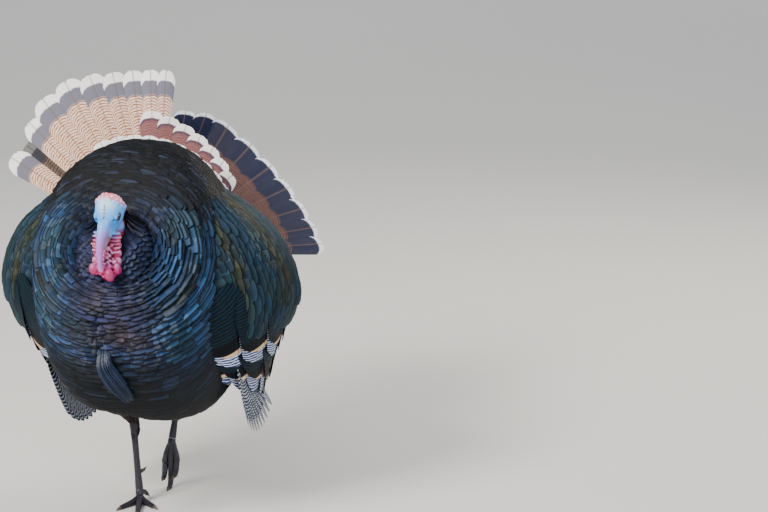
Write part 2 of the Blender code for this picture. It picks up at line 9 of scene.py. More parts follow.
import bmesh
import bpy
import numpy as np
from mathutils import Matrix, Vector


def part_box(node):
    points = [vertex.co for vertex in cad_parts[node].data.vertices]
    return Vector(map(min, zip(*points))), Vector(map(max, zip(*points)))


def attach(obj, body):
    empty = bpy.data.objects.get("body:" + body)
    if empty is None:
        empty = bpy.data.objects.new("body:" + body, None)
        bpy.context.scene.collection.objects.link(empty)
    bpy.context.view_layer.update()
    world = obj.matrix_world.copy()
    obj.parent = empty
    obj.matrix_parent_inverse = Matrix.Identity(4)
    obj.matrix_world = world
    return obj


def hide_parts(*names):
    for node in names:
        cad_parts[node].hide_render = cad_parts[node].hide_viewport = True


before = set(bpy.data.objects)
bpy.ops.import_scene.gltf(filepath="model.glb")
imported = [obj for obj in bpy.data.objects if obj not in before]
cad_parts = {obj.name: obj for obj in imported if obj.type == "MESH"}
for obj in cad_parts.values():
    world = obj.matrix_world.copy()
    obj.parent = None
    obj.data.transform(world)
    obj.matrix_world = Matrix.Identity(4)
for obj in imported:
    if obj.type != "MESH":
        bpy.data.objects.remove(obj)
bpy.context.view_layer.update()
chance = np.random.default_rng(11)


# ---------------------------------------------------------------- studio
# A pale paper sweep under a soft daylight box. The camera stands at the height of a person's eye, before the
# bird's left shoulder, and keeps the bird at the left of the frame.
CAMERA_PLACE = (1.4524, -4.4358, 1.487)
CAMERA_TURN, CAMERA_DIP = 11.922, 12.148  # degrees to the left of +Y, and below the horizon
SENSOR_WIDTH, FOCAL_LENGTH = 36.0, 107.8
SWEEP_RADIUS = 5.0  # the paper's curve up into the backdrop
LAMPS_AIM = (0.0, 0.0, 0.42)


def colour(code):
    """An sRGB hex value as linear red, green and blue, with an alpha of 1."""
    parts = np.array([int(code[i : i + 2], 16) for i in (1, 3, 5)]) / 255
    linear = np.where(parts <= 0.04045, parts / 12.92, ((parts + 0.055) / 1.055) ** 2.4)
    return (*linear.tolist(), 1.0)


def new_finish(name, roughness, **sockets):
    """A material with a Principled shader, and these values on its own sockets."""
    made = bpy.data.materials.new(name)
    made.use_nodes = True
    shader = made.node_tree.nodes["Principled BSDF"]
    shader.inputs["Roughness"].default_value = roughness
    for socket, value in sockets.items():
        shader.inputs[socket.replace("_", " ")].default_value = value
    return made


def node(made, kind, sockets=(), out=0, **settings):
    """Adds a node with a number, a hex colour or another output on its sockets, and returns its output."""
    tree = made.node_tree
    added = tree.nodes.new("ShaderNode" + kind)
    for name, value in settings.items():
        setattr(added, name, value)
    for socket, value in dict(sockets).items():
        if isinstance(value, bpy.types.NodeSocket):
            tree.links.new(value, added.inputs[socket])
        else:
            added.inputs[socket].default_value = colour(value) if isinstance(value, str) else value
    return added.outputs[out]


def mixed(made, share, first, second, **settings):
    """From the first colour to the second by a share."""
    return node(made, "MixRGB", {0: share, 1: first, 2: second}, **settings)


def painted(made, base, height=None, strength=0.0, distance=0.0, invert=False):
    """Joins a base colour, and a relief as deep as `distance`, to a finish's shader."""
    shader = made.node_tree.nodes["Principled BSDF"]
    made.node_tree.links.new(base, shader.inputs["Base Color"])
    if height is not None:
        relief = {"Strength": strength, "Distance": distance, "Height": height}
        bump = node(made, "Bump", relief, invert=invert)
        made.node_tree.links.new(bump, shader.inputs["Normal"])
    return made


def net_faces(rows, columns, loop_rows=False, loop_columns=False):
    """Four-cornered faces between the points of a grid, which may close on itself along either way."""
    down, over = rows - (not loop_rows), columns - (not loop_columns)
    i, j = np.meshgrid(np.arange(down), np.arange(over), indexing="ij")
    i_next, j_next = (i + 1) % rows * columns, (j + 1) % columns
    return np.stack([i * columns + j, i * columns + j_next, i_next + j_next, i_next + j], -1).reshape(-1, 4)


def grid_mesh(name, points, faces, smooth_under=40):
    """A mesh of an array of points and one of four-cornered faces, smooth where faces meet at a low angle."""
    mesh = bpy.data.meshes.new(name)
    mesh.vertices.add(len(points))
    mesh.vertices.foreach_set("co", np.ascontiguousarray(points, np.float32).ravel())
    mesh.loops.add(faces.size)
    mesh.loops.foreach_set("vertex_index", np.ascontiguousarray(faces, np.int32).ravel())
    mesh.polygons.add(len(faces))
    mesh.polygons.foreach_set("loop_start", np.arange(0, faces.size, faces.shape[1], dtype=np.int32))
    mesh.update(calc_edges=True)
    mesh.shade_smooth()
    mesh.set_sharp_from_angle(angle=math.radians(smooth_under))
    return mesh


def in_scene(name, data):
    """A new object of some data, linked to the scene."""
    thing = bpy.data.objects.new(name, data)
    bpy.context.scene.collection.objects.link(thing)
    return thing


def show(name, mesh, material, stands_for=()):
    """Puts a finished mesh in the scene as a piece of the bird."""
    piece = in_scene(name, mesh)
    mesh.materials.clear()
    mesh.materials.append(material)
    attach(piece, "root")
    if stands_for:
        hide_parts(*stands_for)


def make_studio():
    """A floor that curves up into a backdrop, three large soft lights, a pale sky and the camera."""
    run = np.linspace(-6, 9, 61)
    bend = np.maximum(SWEEP_RADIUS**2 - (run - 4) ** 2, 0)
    rise = np.where(run > 4, SWEEP_RADIUS - np.sqrt(bend), 0)
    y, x = np.meshgrid(run, np.linspace(-9, 9, 3), indexing="ij")
    points = np.stack([x, y, np.broadcast_to(rise[:, None], x.shape)], axis=-1).reshape(-1, 3)
    sweep = in_scene("paper_sweep", grid_mesh("paper_sweep", points, net_faces(61, 3)))
    paper = new_finish("matt backdrop paper", 0.9)
    fibre = node(paper, "TexNoise", {"Scale": 9.0, "Detail": 3.0})
    sweep.data.materials.append(painted(paper, mixed(paper, fibre, "#d9d8d4", "#e2e1de")))

    for name, place, size, power, tint in (
        ("daylight_box", (-1.9, -3.1, 3.3), 1.7, 300.0, "#fffaf2"),
        ("fill_box", (3.2, -2.8, 1.5), 1.6, 60.0, "#dde8ff"),
        ("rim_box", (1.7, 2.2, 2.8), 1.3, 75.0, "#fff4e0"),
    ):
        lamp = bpy.data.lights.new(name, "AREA")
        lamp.size, lamp.energy, lamp.color = size, power, colour(tint)[:3]
        holder = in_scene(name, lamp)
        x, y, z = np.array(LAMPS_AIM) - place
        holder.location = place
        holder.rotation_euler = (math.atan2(math.hypot(x, y), -z), 0, math.atan2(-x, y))
    world = bpy.data.worlds.new("pale_sky")
    world.use_nodes = True
    sky = world.node_tree.nodes["Background"].inputs
    sky["Color"].default_value, sky["Strength"].default_value = colour("#eef2f8"), 0.72
    bpy.context.scene.world = world

    camera = bpy.data.cameras.new("camera")
    camera.sensor_width, camera.lens = SENSOR_WIDTH, FOCAL_LENGTH
    camera.clip_start, camera.clip_end = 0.05, 60
    holder = in_scene("camera", camera)
    holder.location = CAMERA_PLACE
    holder.rotation_euler = (math.radians(90 - CAMERA_DIP), 0, math.radians(CAMERA_TURN))
    bpy.context.scene.camera = holder


make_studio()


# ---------------------------------------------------------------- skin
# One skin covers the head, neck, body, thighs and the fleshy part of the wings. It lies under the feathers by
# the depth of the coat, and is bare on the head and throat, where it is folded and knobbed.
TILT = math.tan(math.radians(5))  # the body tips over the planted right leg
TILT_HEIGHT = 0.55  # height that the tipping leaves in place
HEAD_UNIT = 0.0012  # the head's measures are in parts of the skull
HEAD_PITCH = math.radians(46)
HEAD_CENTRE = np.array((0.002, -0.200, 0.634))
EYE_FORWARD, EYE_SIDE, EYE_UP, EYE_RADIUS = 7.5, 15.6, 6.5, 5.9  # in head units
COAT_DEPTH = 0.015
HEAD_VOXEL, BODY_VOXEL = 0.00125, 0.009  # how finely each skin is fused
TRUNK_MIDDLE = np.array((0.0, 0.02, 0.45))
TRUNK_BACK = (
    (-0.150, 0.585), (-0.112, 0.657), (-0.050, 0.709), (0.022, 0.731), (0.085, 0.725),
    (0.138, 0.690), (0.180, 0.634), (0.210, 0.580), (0.230, 0.532), (0.241, 0.502),
)
TRUNK_BREAST = (
    (-0.222, 0.542), (-0.256, 0.475), (-0.268, 0.385), (-0.242, 0.296), (-0.175, 0.230),
    (-0.070, 0.196), (0.060, 0.208), (0.160, 0.266), (0.218, 0.350), (0.241, 0.420),
)
TRUNK_HALF_WIDTH = (0.048, 0.108, 0.158, 0.186, 0.198, 0.198, 0.184, 0.146, 0.096, 0.050)
LEGS = {  # knee and hock, on the part
    "right": ((-0.075, -0.062, 0.285), (-0.034, 0.004, 0.166)),
    "left": ((0.098, -0.010, 0.262), (0.032, 0.134, 0.230)),
}
SNOOD_RADII = (0.0110, 0.0116, 0.0108, 0.0092, 0.0068, 0.0036)


def ramp(value, low, high):
    """From 0 at `low` to 1 at `high`, and level beyond them."""
    return np.clip((value - low) / (high - low), 0, 1)


def bell(value, middle, width):
    """1 at `middle`, and fading to either side of it over `width`."""
    return np.exp(-(((value - middle) / width) ** 2))


def unit(vectors):
    """The same directions with a length of one."""
    return vectors / np.maximum(np.linalg.norm(vectors, axis=-1, keepdims=True), 1e-12)


def turns(count):
    """Even angles round a circle."""
    return np.arange(count) * 2 * math.pi / count


def head_point(forward, side, up):
    """A place in the head's own frame: forward along the bill, to the bird's left, and up, in head units."""
    c, s = math.cos(HEAD_PITCH), math.sin(HEAD_PITCH)
    forward, side, up = (np.asarray(v, float) * HEAD_UNIT for v in (forward, side, up))
    return HEAD_CENTRE + np.stack([side, -forward * c - up * s, -forward * s + up * c], axis=-1)


def in_head(points):
    """The same places read back in head units: forward, side and up."""
    c, s = math.cos(HEAD_PITCH), math.sin(HEAD_PITCH)
    d = (points - HEAD_CENTRE) / HEAD_UNIT
    return -d[..., 1] * c - d[..., 2] * s, d[..., 0], -d[..., 1] * s + d[..., 2] * c


def place_of_bird():
    """Where the bird's own origin stands on the part, read from the middle of its two eyes."""
    corners = np.array([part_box(f"eye_{side}") for side in ("left", "right")])
    middle = corners.reshape(-1, 3).mean(axis=0)
    eyes = head_point(EYE_FORWARD, 0, EYE_UP)
    return np.array((middle[0] - eyes[0] + TILT * (eyes[2] - TILT_HEIGHT), middle[1] - eyes[1], 0))


BIRD_PLACE = place_of_bird()


def stand(points, tipped=True):
    """Tips upright points over the planted leg, and moves them to the bird's place on the part."""
    moved = np.array(points, float)
    if tipped:
        moved[..., 0] -= TILT * (moved[..., 2] - TILT_HEIGHT)
    return moved + BIRD_PLACE


def curve(points, t):
    """A Catmull-Rom curve through the points, read at shares `t` of its length; straight past its ends."""
    known = np.array(points, float)
    if known.ndim == 1:
        known = known[:, None]
    padded = np.vstack([2 * known[0] - known[1], known, 2 * known[-1] - known[-2]])
    place = np.asarray(t, float) * (len(known) - 1)
    i = np.clip(place.astype(int), 0, len(known) - 2)
    f = (place - i)[..., None]
    a, b, c, d = (padded[i + k] for k in range(4))
    return 0.5 * (2 * b + (c - a) * f + (2 * a - 5 * b + 4 * c - d) * f**2 + (3 * b - a - 3 * c + d) * f**3)


def trunk(share, turn):
    """The body's outline at the feather tips: a ring hung between the back line and the breast line, fuller
    than an ellipse, at a share of the way from neck to tail and an angle from the middle of the back."""
    share, turn = np.broadcast_arrays(np.asarray(share, float), np.asarray(turn, float))
    back, breast = curve(TRUNK_BACK, share), curve(TRUNK_BREAST, share)
    half = curve(TRUNK_HALF_WIDTH, share)[..., 0]
    sine, cosine = np.sin(turn), np.cos(turn)
    wide = half * np.sign(sine) * np.abs(sine) ** np.where(cosine > 0, 0.82, 0.66)
    middle, up = (back + breast) / 2, (back - breast) / 2
    crease = 0.10 * bell(share, 0.15, 0.10) * bell(turn, math.pi, 0.13)  # down the middle of the breast
    reach = cosine * (1 - crease)
    height = middle[..., 1] + reach * up[..., 1]
    tuck = ramp(height, 0.29, 0.20) ** 1.5 * (0.004 + 0.020 * ramp(wide, 0.03, -0.06))
    return np.stack([wide, middle[..., 0] + reach * up[..., 0], height + tuck], axis=-1)


def frame_on(surface, a, b, step=1e-3):
    """A surface's points, its direction as `a` grows, and its normal away from the trunk's middle."""
    here = surface(a, b)
    ahead = unit(surface(a + step, b) - surface(a - step, b))
    normal = unit(np.cross(ahead, surface(a, b + step) - surface(a, b - step)))
    return here, ahead, normal * np.sign(np.sum(normal * (here - TRUNK_MIDDLE), axis=-1, keepdims=True))


def closed_tube(path, radii, around=24, squash=1.0):
    """Points and faces of rounds carried along a path, with a fan of faces to close each end."""
    path, radii = np.asarray(path, float), np.asarray(radii, float)
    along = unit(np.gradient(path, axis=0))
    side = unit(np.cross(along, (0.0, 0.0, 1.0) if abs(along[:, 2]).mean() < 0.8 else (0.0, 1.0, 0.0)))
    over = np.cross(side, along)
    turn = turns(around)[None, :, None]
    radii = radii if radii.ndim == 2 else radii[:, None]
    return close_rings(path[:, None] + radii[..., None] * (
        np.cos(turn) * side[:, None] + squash * np.sin(turn) * over[:, None]
    ))


def close_rings(rings):
    """Points and faces of a closed skin over rings of points, ready for one mesh."""
    count, around = rings.shape[:2]
    points = np.concatenate([rings.reshape(-1, 3), rings[:1].mean(axis=1), rings[-1:].mean(axis=1)])
    j = np.arange(around)
    after, last = (j + 1) % around, (count - 1) * around
    low = np.stack([after, j, np.full(around, count * around)], -1)
    high = np.stack([last + j, last + after, np.full(around, count * around + 1)], -1)
    return points, [*net_faces(count, around, loop_columns=True).tolist(), *low.tolist(), *high.tolist()]


def join_shapes(name, shapes):
    """One smooth mesh of several closed shapes, each given as points and faces."""
    points, faces, first = [], [], 0
    for shape_points, shape_faces in shapes:
        points.append(shape_points)
        faces += [[first + v for v in face] for face in shape_faces]
        first += len(shape_points)
    mesh = bpy.data.meshes.new(name)
    mesh.from_pydata(np.concatenate(points).tolist(), [], faces)
    work = bmesh.new()
    work.from_mesh(mesh)
    bmesh.ops.recalc_face_normals(work, faces=work.faces)
    work.to_mesh(mesh)
    work.free()
    mesh.shade_smooth()
    return mesh


def ball(place, radius, stretch=(1, 1, 1), around=12):
    """A closed round of `radius`, stretched along the three axes."""
    turn, spin = np.linspace(0.02, math.pi - 0.02, around // 2 + 1), turns(around)
    round_about = [np.outer(np.sin(turn), np.cos(spin)), np.outer(np.sin(turn), np.sin(spin))]
    points = np.stack([*round_about, np.outer(np.cos(turn), np.ones(around))], -1)
    return close_rings(np.asarray(place) + points * radius * np.asarray(stretch))


def as_meshed(thing):
    """The mesh that an object's modifiers make; the object itself is taken away."""
    made = bpy.data.meshes.new_from_object(thing.evaluated_get(bpy.context.evaluated_depsgraph_get()))
    bpy.data.objects.remove(thing)
    return made


def fuse(mesh, voxel):
    """Joins overlapping closed shapes into one even skin, then relaxes it."""
    work = in_scene("fuse", mesh)
    remesh = work.modifiers.new("fuse", "REMESH")
    remesh.mode, remesh.voxel_size = "VOXEL", voxel
    relax = work.modifiers.new("relax", "SMOOTH")
    relax.factor, relax.iterations = 0.5, 3
    return as_meshed(work)


def vertex_values(mesh, what):
    """Three numbers for each vertex: its place for "co", or its "normal"."""
    values = np.empty(len(mesh.vertices) * 3, np.float32)
    mesh.vertices.foreach_get(what, values)
    return values.reshape(-1, 3).astype(float)


def move_vertices(mesh, points):
    """Puts a mesh's vertices at these points."""
    mesh.vertices.foreach_set("co", points.astype(np.float32).ravel())
    mesh.update()


def paint_vertices(mesh, name, colours):
    """Writes a colour for each vertex under a name that a finish reads."""
    attribute = mesh.color_attributes.new(name, "FLOAT_COLOR", "POINT")
    attribute.data.foreach_set("color", colours.astype(np.float32).ravel())


def skull():
    """The head's skin: egg-shaped rounds at stations of how far forward, how wide, how high and how deep."""
    stations = curve((
        (-37, 6, 6, 8), (-34, 13, 12, 16), (-28, 18.5, 18, 22), (-18, 22.5, 22.5, 25.5),
        (-6, 23.5, 24, 26), (6, 21.5, 22, 24.5), (17, 17.5, 18.5, 21), (27, 13.5, 14.5, 17),
        (34, 10.2, 11, 13), (40, 8.4, 9.0, 10.6),
    ), np.linspace(0, 1, 40))
    turn = turns(36)
    sine, cosine = np.sin(turn), np.cos(turn)
    forward, wide, above, below = (stations[:, k, None] for k in range(4))
    # A brow runs over each eye, and the cheek is hollow in front of it.
    brow = 0.06 * bell(forward, 8, 9) * bell(abs(sine), 0.72, 0.16) * (cosine > 0)
    swell = 0.985 + brow - 0.10 * bell(forward, 20, 8) * bell(abs(sine), 0.95, 0.2)
    up = cosine * np.where(cosine > 0, above, below) * swell
    return close_rings(head_point(np.broadcast_to(forward, up.shape), sine * wide * swell, up))


def ring_round_eye(side, major, minor, lift):
    """A lid: a small tube carried round the eye's rim, on the side of the head."""
    turn, small = turns(24)[:, None], turns(8)[None, :]
    across = major + minor * np.cos(small)
    forward = EYE_FORWARD + 1.25 * np.cos(turn) * across
    out = lift + minor * np.sin(small) - 0.0175 * (forward - EYE_FORWARD) ** 2
    rings = head_point(forward, side * out, EYE_UP + 0.78 * np.sin(turn) * across)
    return rings.reshape(-1, 3), net_faces(24, 8, True, True).tolist()


def throat_knobs():
    """The wattled throat: columns of knobs over a core, folds beside the bill, and the large balls below."""
    shapes = []
    for row in range(5):
        for side in (-1, 1):
            place = (side * (0.0165 + 0.001 * row), -0.212 - 0.007 * row, 0.594 - 0.0145 * row)
            shapes.append(ball(place, 0.0104))
        shapes.append(ball((0, -0.2175 - 0.006 * row, 0.588 - 0.015 * row), 0.0130))
    for row in range(6):  # folds across the upper throat
        for side in (-1, 1):
            place = np.array((side * 0.0175, -0.2165 - 0.0030 * row, 0.601 - 0.0062 * row))
            place = place + 0.0008 * chance.normal(size=3)
            shapes.append(ball(place, 0.0029 + 0.0008 * chance.random(), (3.7, 2.6, 0.86)))
    shapes += [
        ball((-0.0195, -0.257, 0.5385), 0.0098, (1, 0.95, 1.20), 20),
        ball((0.0125, -0.262, 0.5290), 0.0102, (1.0, 0.95, 1.25), 20),
        ball((-0.004, -0.260, 0.5430), 0.0084, (1, 1, 1.15), 16),
        ball((0.0255, -0.252, 0.5400), 0.0074, (0.85, 0.9, 1.45), 16),
    ]
    for row in range(13):  # small beads between them
        wide = 0.0205 + 0.0022 * math.cos(row * 0.9)
        for k in range(7):
            turn = math.radians(-105 + 35 * k + 14 * (row % 2)) + 0.10 * chance.normal()
            ahead = -0.218 - 0.0023 * row - 0.0180 * math.cos(turn)
            place = (wide * math.sin(turn), ahead, 0.580 - 0.0042 * row + 0.0020 * chance.normal())
            shapes.append(ball(place, 0.0030 + 0.0028 * chance.random() ** 2, around=8))
    return shapes


def nape_knobs():
    """A fleshy rim of knobs that runs over the back of the crown and down behind each ear."""
    shapes = []
    for row, (forward, size) in enumerate(((-14, 2.6), (-19, 4.0), (-24, 3.6), (-29, 3.0))):
        wide, above = 0.97 * curve(((23.2, 24), (22.3, 22.5), (19.5, 19.2), (16.2, 16)), row / 3)
        for angle in np.radians(np.arange(-118, 119, 19) + 9 * (row % 2)):
            swell = size * (0.85 + 0.45 * chance.random()) * HEAD_UNIT
            place = head_point(forward + chance.normal(), wide * math.sin(angle), above * math.cos(angle))
            shapes.append(ball(place, swell, around=8))
    return shapes


def snood_line(share):
    """The middle of the snood: out over the root of the bill, and then hanging down past it."""
    places = [head_point(*p) for p in ((18, 0, 6), (29, 0.5, 14.0), (41, 0.8, 14.8), (53, -1.2, 12.8))]
    hanging = [places[-1] + drop for drop in ((-0.002, -0.010, -0.026), (-0.003, -0.014, -0.060))]
    return curve(places + hanging, share)


def snood_shape():
    """The snood: a soft finger that hangs from the forehead over the bill, ringed with fine wrinkles."""
    share = np.linspace(0, 1, 90)
    wrinkle = 1 + 0.045 * np.sin(share * 2 * math.pi * 26) * np.clip(share * 3, 0, 1)
    tip = np.sqrt(np.clip((1 - share) / 0.04, 0.02, 1))
    return closed_tube(snood_line(share), curve(SNOOD_RADII, share)[:, 0] * wrinkle * tip, 20)


def neck_shape():
    """The bare neck, bent back in an S, from inside the ruff up to the skull."""
    share, ring, turn = np.linspace(0, 1, 40), np.arange(40)[:, None], turns(32)
    line = ((-0.19, 0.42), (-0.2, 0.48), (-0.192, 0.522), (-0.178, 0.562), (-0.176, 0.6), (-0.186, 0.628))
    path = np.column_stack([np.zeros(40), curve(line, share)])
    radii = curve((0.046, 0.039, 0.0345, 0.0295, 0.0255, 0.0195), share)
    wrinkles = 1 + 0.03 * np.sin(ring * 1.9) * (1 + 0.5 * np.sin(3 * turn + ring * 0.4))
    return closed_tube(path, radii * wrinkles, 32, 1.1)


def make_head_skin():
    """Head, lids, throat, snood and neck as one fused skin, with the eyes' beds and the ears pressed in."""
    shapes = [skull(), neck_shape(), snood_shape(), *throat_knobs()]
    for side in (-1, 1):
        shapes += [ring_round_eye(side, 5.5, 1.10, 20.0), ring_round_eye(side, 8.2, 0.9, 18.4)]
    shapes += nape_knobs()
    mesh = fuse(join_shapes("head_skin", shapes), HEAD_VOXEL)
    points = vertex_values(mesh, "co")
    forward, side, up = in_head(points)
    for sign in (-1, 1):
        # What would cover the eye's ball is pressed back under it; the ear opens behind and below the eye.
        across = np.hypot((forward - EYE_FORWARD) / 1.15, (up - EYE_UP) / 0.80)
        press = np.clip(1 - (across / 4.8) ** 6, 0, 1)
        depth = np.clip(sign * side - (EYE_SIDE - 1.0), 0, None) * press
        pit = 2.6 * bell(forward, -10, 2.4) * bell(up, 0.5, 2.0)
        points[:, 0] -= sign * (depth + pit) * (sign * side > 12) * HEAD_UNIT
    move_vertices(mesh, points)
    return mesh


def make_body_skin():
    """The body's skin, a coat's depth inside the feather tips, with the thighs and the wings' arms."""
    points, _, normal = frame_on(trunk, np.linspace(0.0, 1.0, 40)[:, None], turns(48)[None, :] + 1e-4)
    shapes = [close_rings(points - normal * COAT_DEPTH)]
    share = np.linspace(0, 1, 16)
    for ends in LEGS.values():
        # `stand` will take this tipping off again
        knee, hock = (np.array(end) + TILT * np.array((end[2] - TILT_HEIGHT, 0, 0)) for end in ends)
        middle = (knee + hock) / 2 + np.array((0, 0.004, 0))
        path = curve((knee, middle, hock * 0.96 + knee * 0.04), share)
        shapes.append(closed_tube(path, curve((0.058, 0.037, 0.0096), share)[:, 0], 20, 1.15))
    arm = np.array(((0.10, -0.07, 0.56), (0.215, 0.01, 0.545), (0.225, -0.02, 0.46), (0.19, -0.085, 0.37)))
    for sign in (-1, 1):
        path = curve(arm * (sign, 1, 1), share)
        shapes.append(closed_tube(path, curve((0.050, 0.036, 0.030, 0.016), share)[:, 0], 16, 1.2))
    return fuse(join_shapes("body_skin", shapes), BODY_VOXEL)


def plain(code, count):
    """One colour for each of `count` points or feathers."""
    return np.tile(np.array(colour(code)), (count, 1))


def layered(base, *layers):
    """Colours with each tint laid over them in turn, by its mask from 0 to 1."""
    for tint, mask in layers:
        mask = np.clip(mask, 0, 1)[:, None]
        base = base * (1 - mask) + np.array(colour(tint)) * mask
    return base


def bump_of(mesh, points):
    """How far, in metres, each vertex stands out from its neighbours' mean along its normal, evened out."""
    edges = np.empty(len(mesh.edges) * 2, np.int32)
    mesh.edges.foreach_get("vertices", edges)
    edges = edges.reshape(-1, 2)
    count = np.bincount(edges.ravel(), minlength=len(points)).astype(float)[:, None]

    def mean_round(values):
        """The mean of each vertex's neighbours."""
        total = np.zeros_like(values)
        np.add.at(total, edges[:, 0], values[edges[:, 1]])
        np.add.at(total, edges[:, 1], values[edges[:, 0]])
        return total / np.maximum(count, 1)

    even = points
    for _ in range(10):
        even = mean_round(even)
    out = np.sum((points - even) * vertex_values(mesh, "normal"), axis=1)[:, None]
    for _ in range(2):
        out = (out + mean_round(out)) / 2
    return out[:, 0]


def cape_edge(share, turn):
    """1 along the edge of the cape, where the neck's feathers stand out over the side's, and 0 elsewhere."""
    return bell(share, 0.115, 0.016) * ramp(np.abs(np.sin(turn)), 0.55, 0.80)


def markings(points, share, turn):
    """The body's colours by place, on the skin and on the feathers over it: slate breast with a brown and a
    teal band, teal flanks lightened with a painted sky reflection, an olive cape edge, near-black belly and
    back, brown-black rump."""
    x, y, z = points.T
    breast = bell(x, 0, 0.115) * ramp(z, 0.34, 0.40) * ramp(y, -0.10, -0.18)
    flank = ramp(np.abs(x), 0.07, 0.13) * ramp(z, 0.33, 0.43) * ramp(y, -0.02, -0.12)
    olive = cape_edge(share, turn) * ramp(z, 0.40, 0.44) * ramp(z, 0.58, 0.53)
    return layered(
        plain("#16283a", len(points)),
        ("#303453", breast),
        ("#352e33", breast * bell(z, 0.405, 0.022) * 0.7),
        ("#24486a", breast * bell(z, 0.366, 0.014) * 0.8),
        # Flanks: their teal, lightened to carry a painted sky reflection as well.
        ("#2e5a7a", flank * 0.87),
        ("#2f3016", olive * 0.8),
        ("#111c26", ramp(z, 0.37, 0.30)),
        ("#080c12", ramp(z, 0.28, 0.22)),
        ("#11161f", ramp(z, 0.60, 0.64) * ramp(y, -0.15, -0.10)),
        ("#1d1816", ramp(y, 0.10, 0.18) * ramp(z, 0.40, 0.50) * 0.8),
    )


def trunk_depth(points):
    """How far points lie below the trunk's outline, in metres, and its nearest point's share and turn."""
    net = np.meshgrid(np.linspace(0, 1, 30), turns(40) + 1e-4, indexing="ij")
    share, turn = (x.ravel() for x in net)
    surface, _, normal = frame_on(trunk, share, turn)
    depth, near = np.empty(len(points)), np.empty(len(points), int)
    for first in range(0, len(points), 4000):
        block = slice(first, first + 4000)
        near[block] = ((points[block, None] - surface[None]) ** 2).sum(axis=2).argmin(axis=1)
        depth[block] = -np.sum((points[block] - surface[near[block]]) * normal[near[block]], axis=1)
    return depth, share[near], turn[near]


def paint_skin(mesh):
    """Writes the skin's colours: blue-white face, pink nape, red throat and balls, lilac snood, dark body,
    with painted highlights on knobs and balls and painted shade in hollows and creases.
    """
    points = vertex_values(mesh, "co")
    x, y, z = points.T
    forward, side, up = in_head(points)
    beside = abs(side)
    knob = bump_of(mesh, points)
    blotch = 0.5 + 0.5 * np.sin(x * 310 + 2 * np.sin(z * 260)) * np.sin(y * 290 + z * 210)
    seam = bell(side, 0, 1.0) * ramp(forward, 26, 20) * ramp(forward, -6, -2)
    ticks = [bell(forward, at, 0.8) * (up > 8) * (abs(side + 0.4) < 4.0) * 0.8 for at in (15.5, 10.5, 4.5)]
    slit = bell(up, 6.5 + 0.36 * (forward - 6), 1.5) * ramp(forward, 9, 12) * ramp(forward, 21, 17)
    rim = bell(np.hypot((forward - EYE_FORWARD) / 1.2, (up - EYE_UP) / 0.80), 5.0, 1.5)
    nape = ramp(0.55 * np.maximum(-up, 0) - forward, 12, 19)
    below = (z < 0.585) * (up < 3)
    throat = ramp(0.22 * np.clip(forward, 0, 60) - up, 11.5, 16.5)
    throat = np.maximum(throat, ramp(y, -0.236, -0.240) * below)
    tops = throat * ramp(knob, 0.0001, 0.0006) * (0.45 + 0.45 * blotch)
    balls = ramp(z, 0.553, 0.545) * (y < -0.235) * (up < 3)
    gap = np.linalg.norm(points[:, None] - snood_line(np.linspace(0, 1, 40))[None], axis=2)
    where = gap.argmin(axis=1) / 39
    snood = ramp(gap.min(axis=1) - curve(SNOOD_RADII, where)[:, 0], 0.003, 0.0015) * ramp(where, 0.10, 0.22)
    behind = ramp(y, -0.214, -0.202) * ramp(z, 0.640, 0.620)
    cheek = ramp(y, -0.226, -0.218) * ramp(y, -0.176, -0.184) * ramp(z, 0.598, 0.608)
    paint = layered(
        plain("#62b6ff", len(points)),
        ("#c6e7ff", ramp(up, 14, 22) * ramp(forward, 14, -4) * 0.85),  # a whiter crown
        ("#2187dc", bell(forward, EYE_FORWARD + 3, 13) * bell(up, EYE_UP - 1, 10) * (beside > 7) * 0.95),
        ("#2f8cdc", bell(forward, 24, 9) * bell(up, 3, 8) * (beside > 5) * 0.85),
        ("#0d2233", rim * (beside > 12) * 0.95),
        ("#0f2a42", slit * (beside > 9) * 0.95),
        # Painted shade: a dark seam along the crown and short creases across it, darkened as the shade in
        # those folds.
        ("#0c1622", seam * (up > 8)),  # a dark seam along the crown, with short creases across it
        *(("#2c4a66", tick) for tick in ticks),
        ("#e67e90", nape),
        # Painted highlight: paler tops on the nape's knobs.
        ("#ffd4d8", nape * ramp(knob, 0.00012, 0.00082) * 0.8),
        ("#b01f5c", throat),
        # The throat knobs' paler tops: partly their own whitish skin, partly painted highlight.
        ("#e0b8e0", tops * (0.45 + 0.55 * ramp(z, 0.584, 0.572))),
        # Painted shade: darker red in the hollows between the knobs.
        ("#841430", throat * ramp(-knob, 0.0001, 0.0005)),
        ("#a40f5c", balls * 0.95),
        # Painted highlight: the upper part of the balls lighter.
        ("#cc68b0", balls * ramp(z, 0.538, 0.552) * 0.6),
        ("#9486e0", snood * ramp(z, 0.622, 0.608)),
        ("#b06cc0", snood * ramp(z, 0.607, 0.587)),
        ("#f0c4da", snood * ramp(z, 0.548, 0.536) * 0.6),
        ("#7a1c38", behind * (up < 2) * 0.75),  # the neck in the throat's shade
        ("#62a4e8", cheek * (up < 2) * 0.9),
    )
    # Under the feathers the skin is downy, in the same markings as the coat.
    depth, share, turn = trunk_depth(points)
    downy = np.maximum(ramp(depth, -0.012, -0.002), (np.abs(x) > 0.07) | (z < 0.45))[:, None]
    paint_vertices(mesh, "skin", paint * (1 - downy) + markings(points, share, turn) * downy)


def make_skin():
    """Joins the head's skin and the body's into one closed skin, with an exact union."""
    head, body = in_scene("skin", make_head_skin()), in_scene("body", make_body_skin())
    join = head.modifiers.new("join", "BOOLEAN")
    join.operation, join.object = "UNION", body
    mesh = as_meshed(head)
    bpy.data.objects.remove(body)
    mesh.name = "skin"
    mesh.shade_smooth()
    paint_skin(mesh)
    move_vertices(mesh, stand(vertex_values(mesh, "co")))
    return mesh


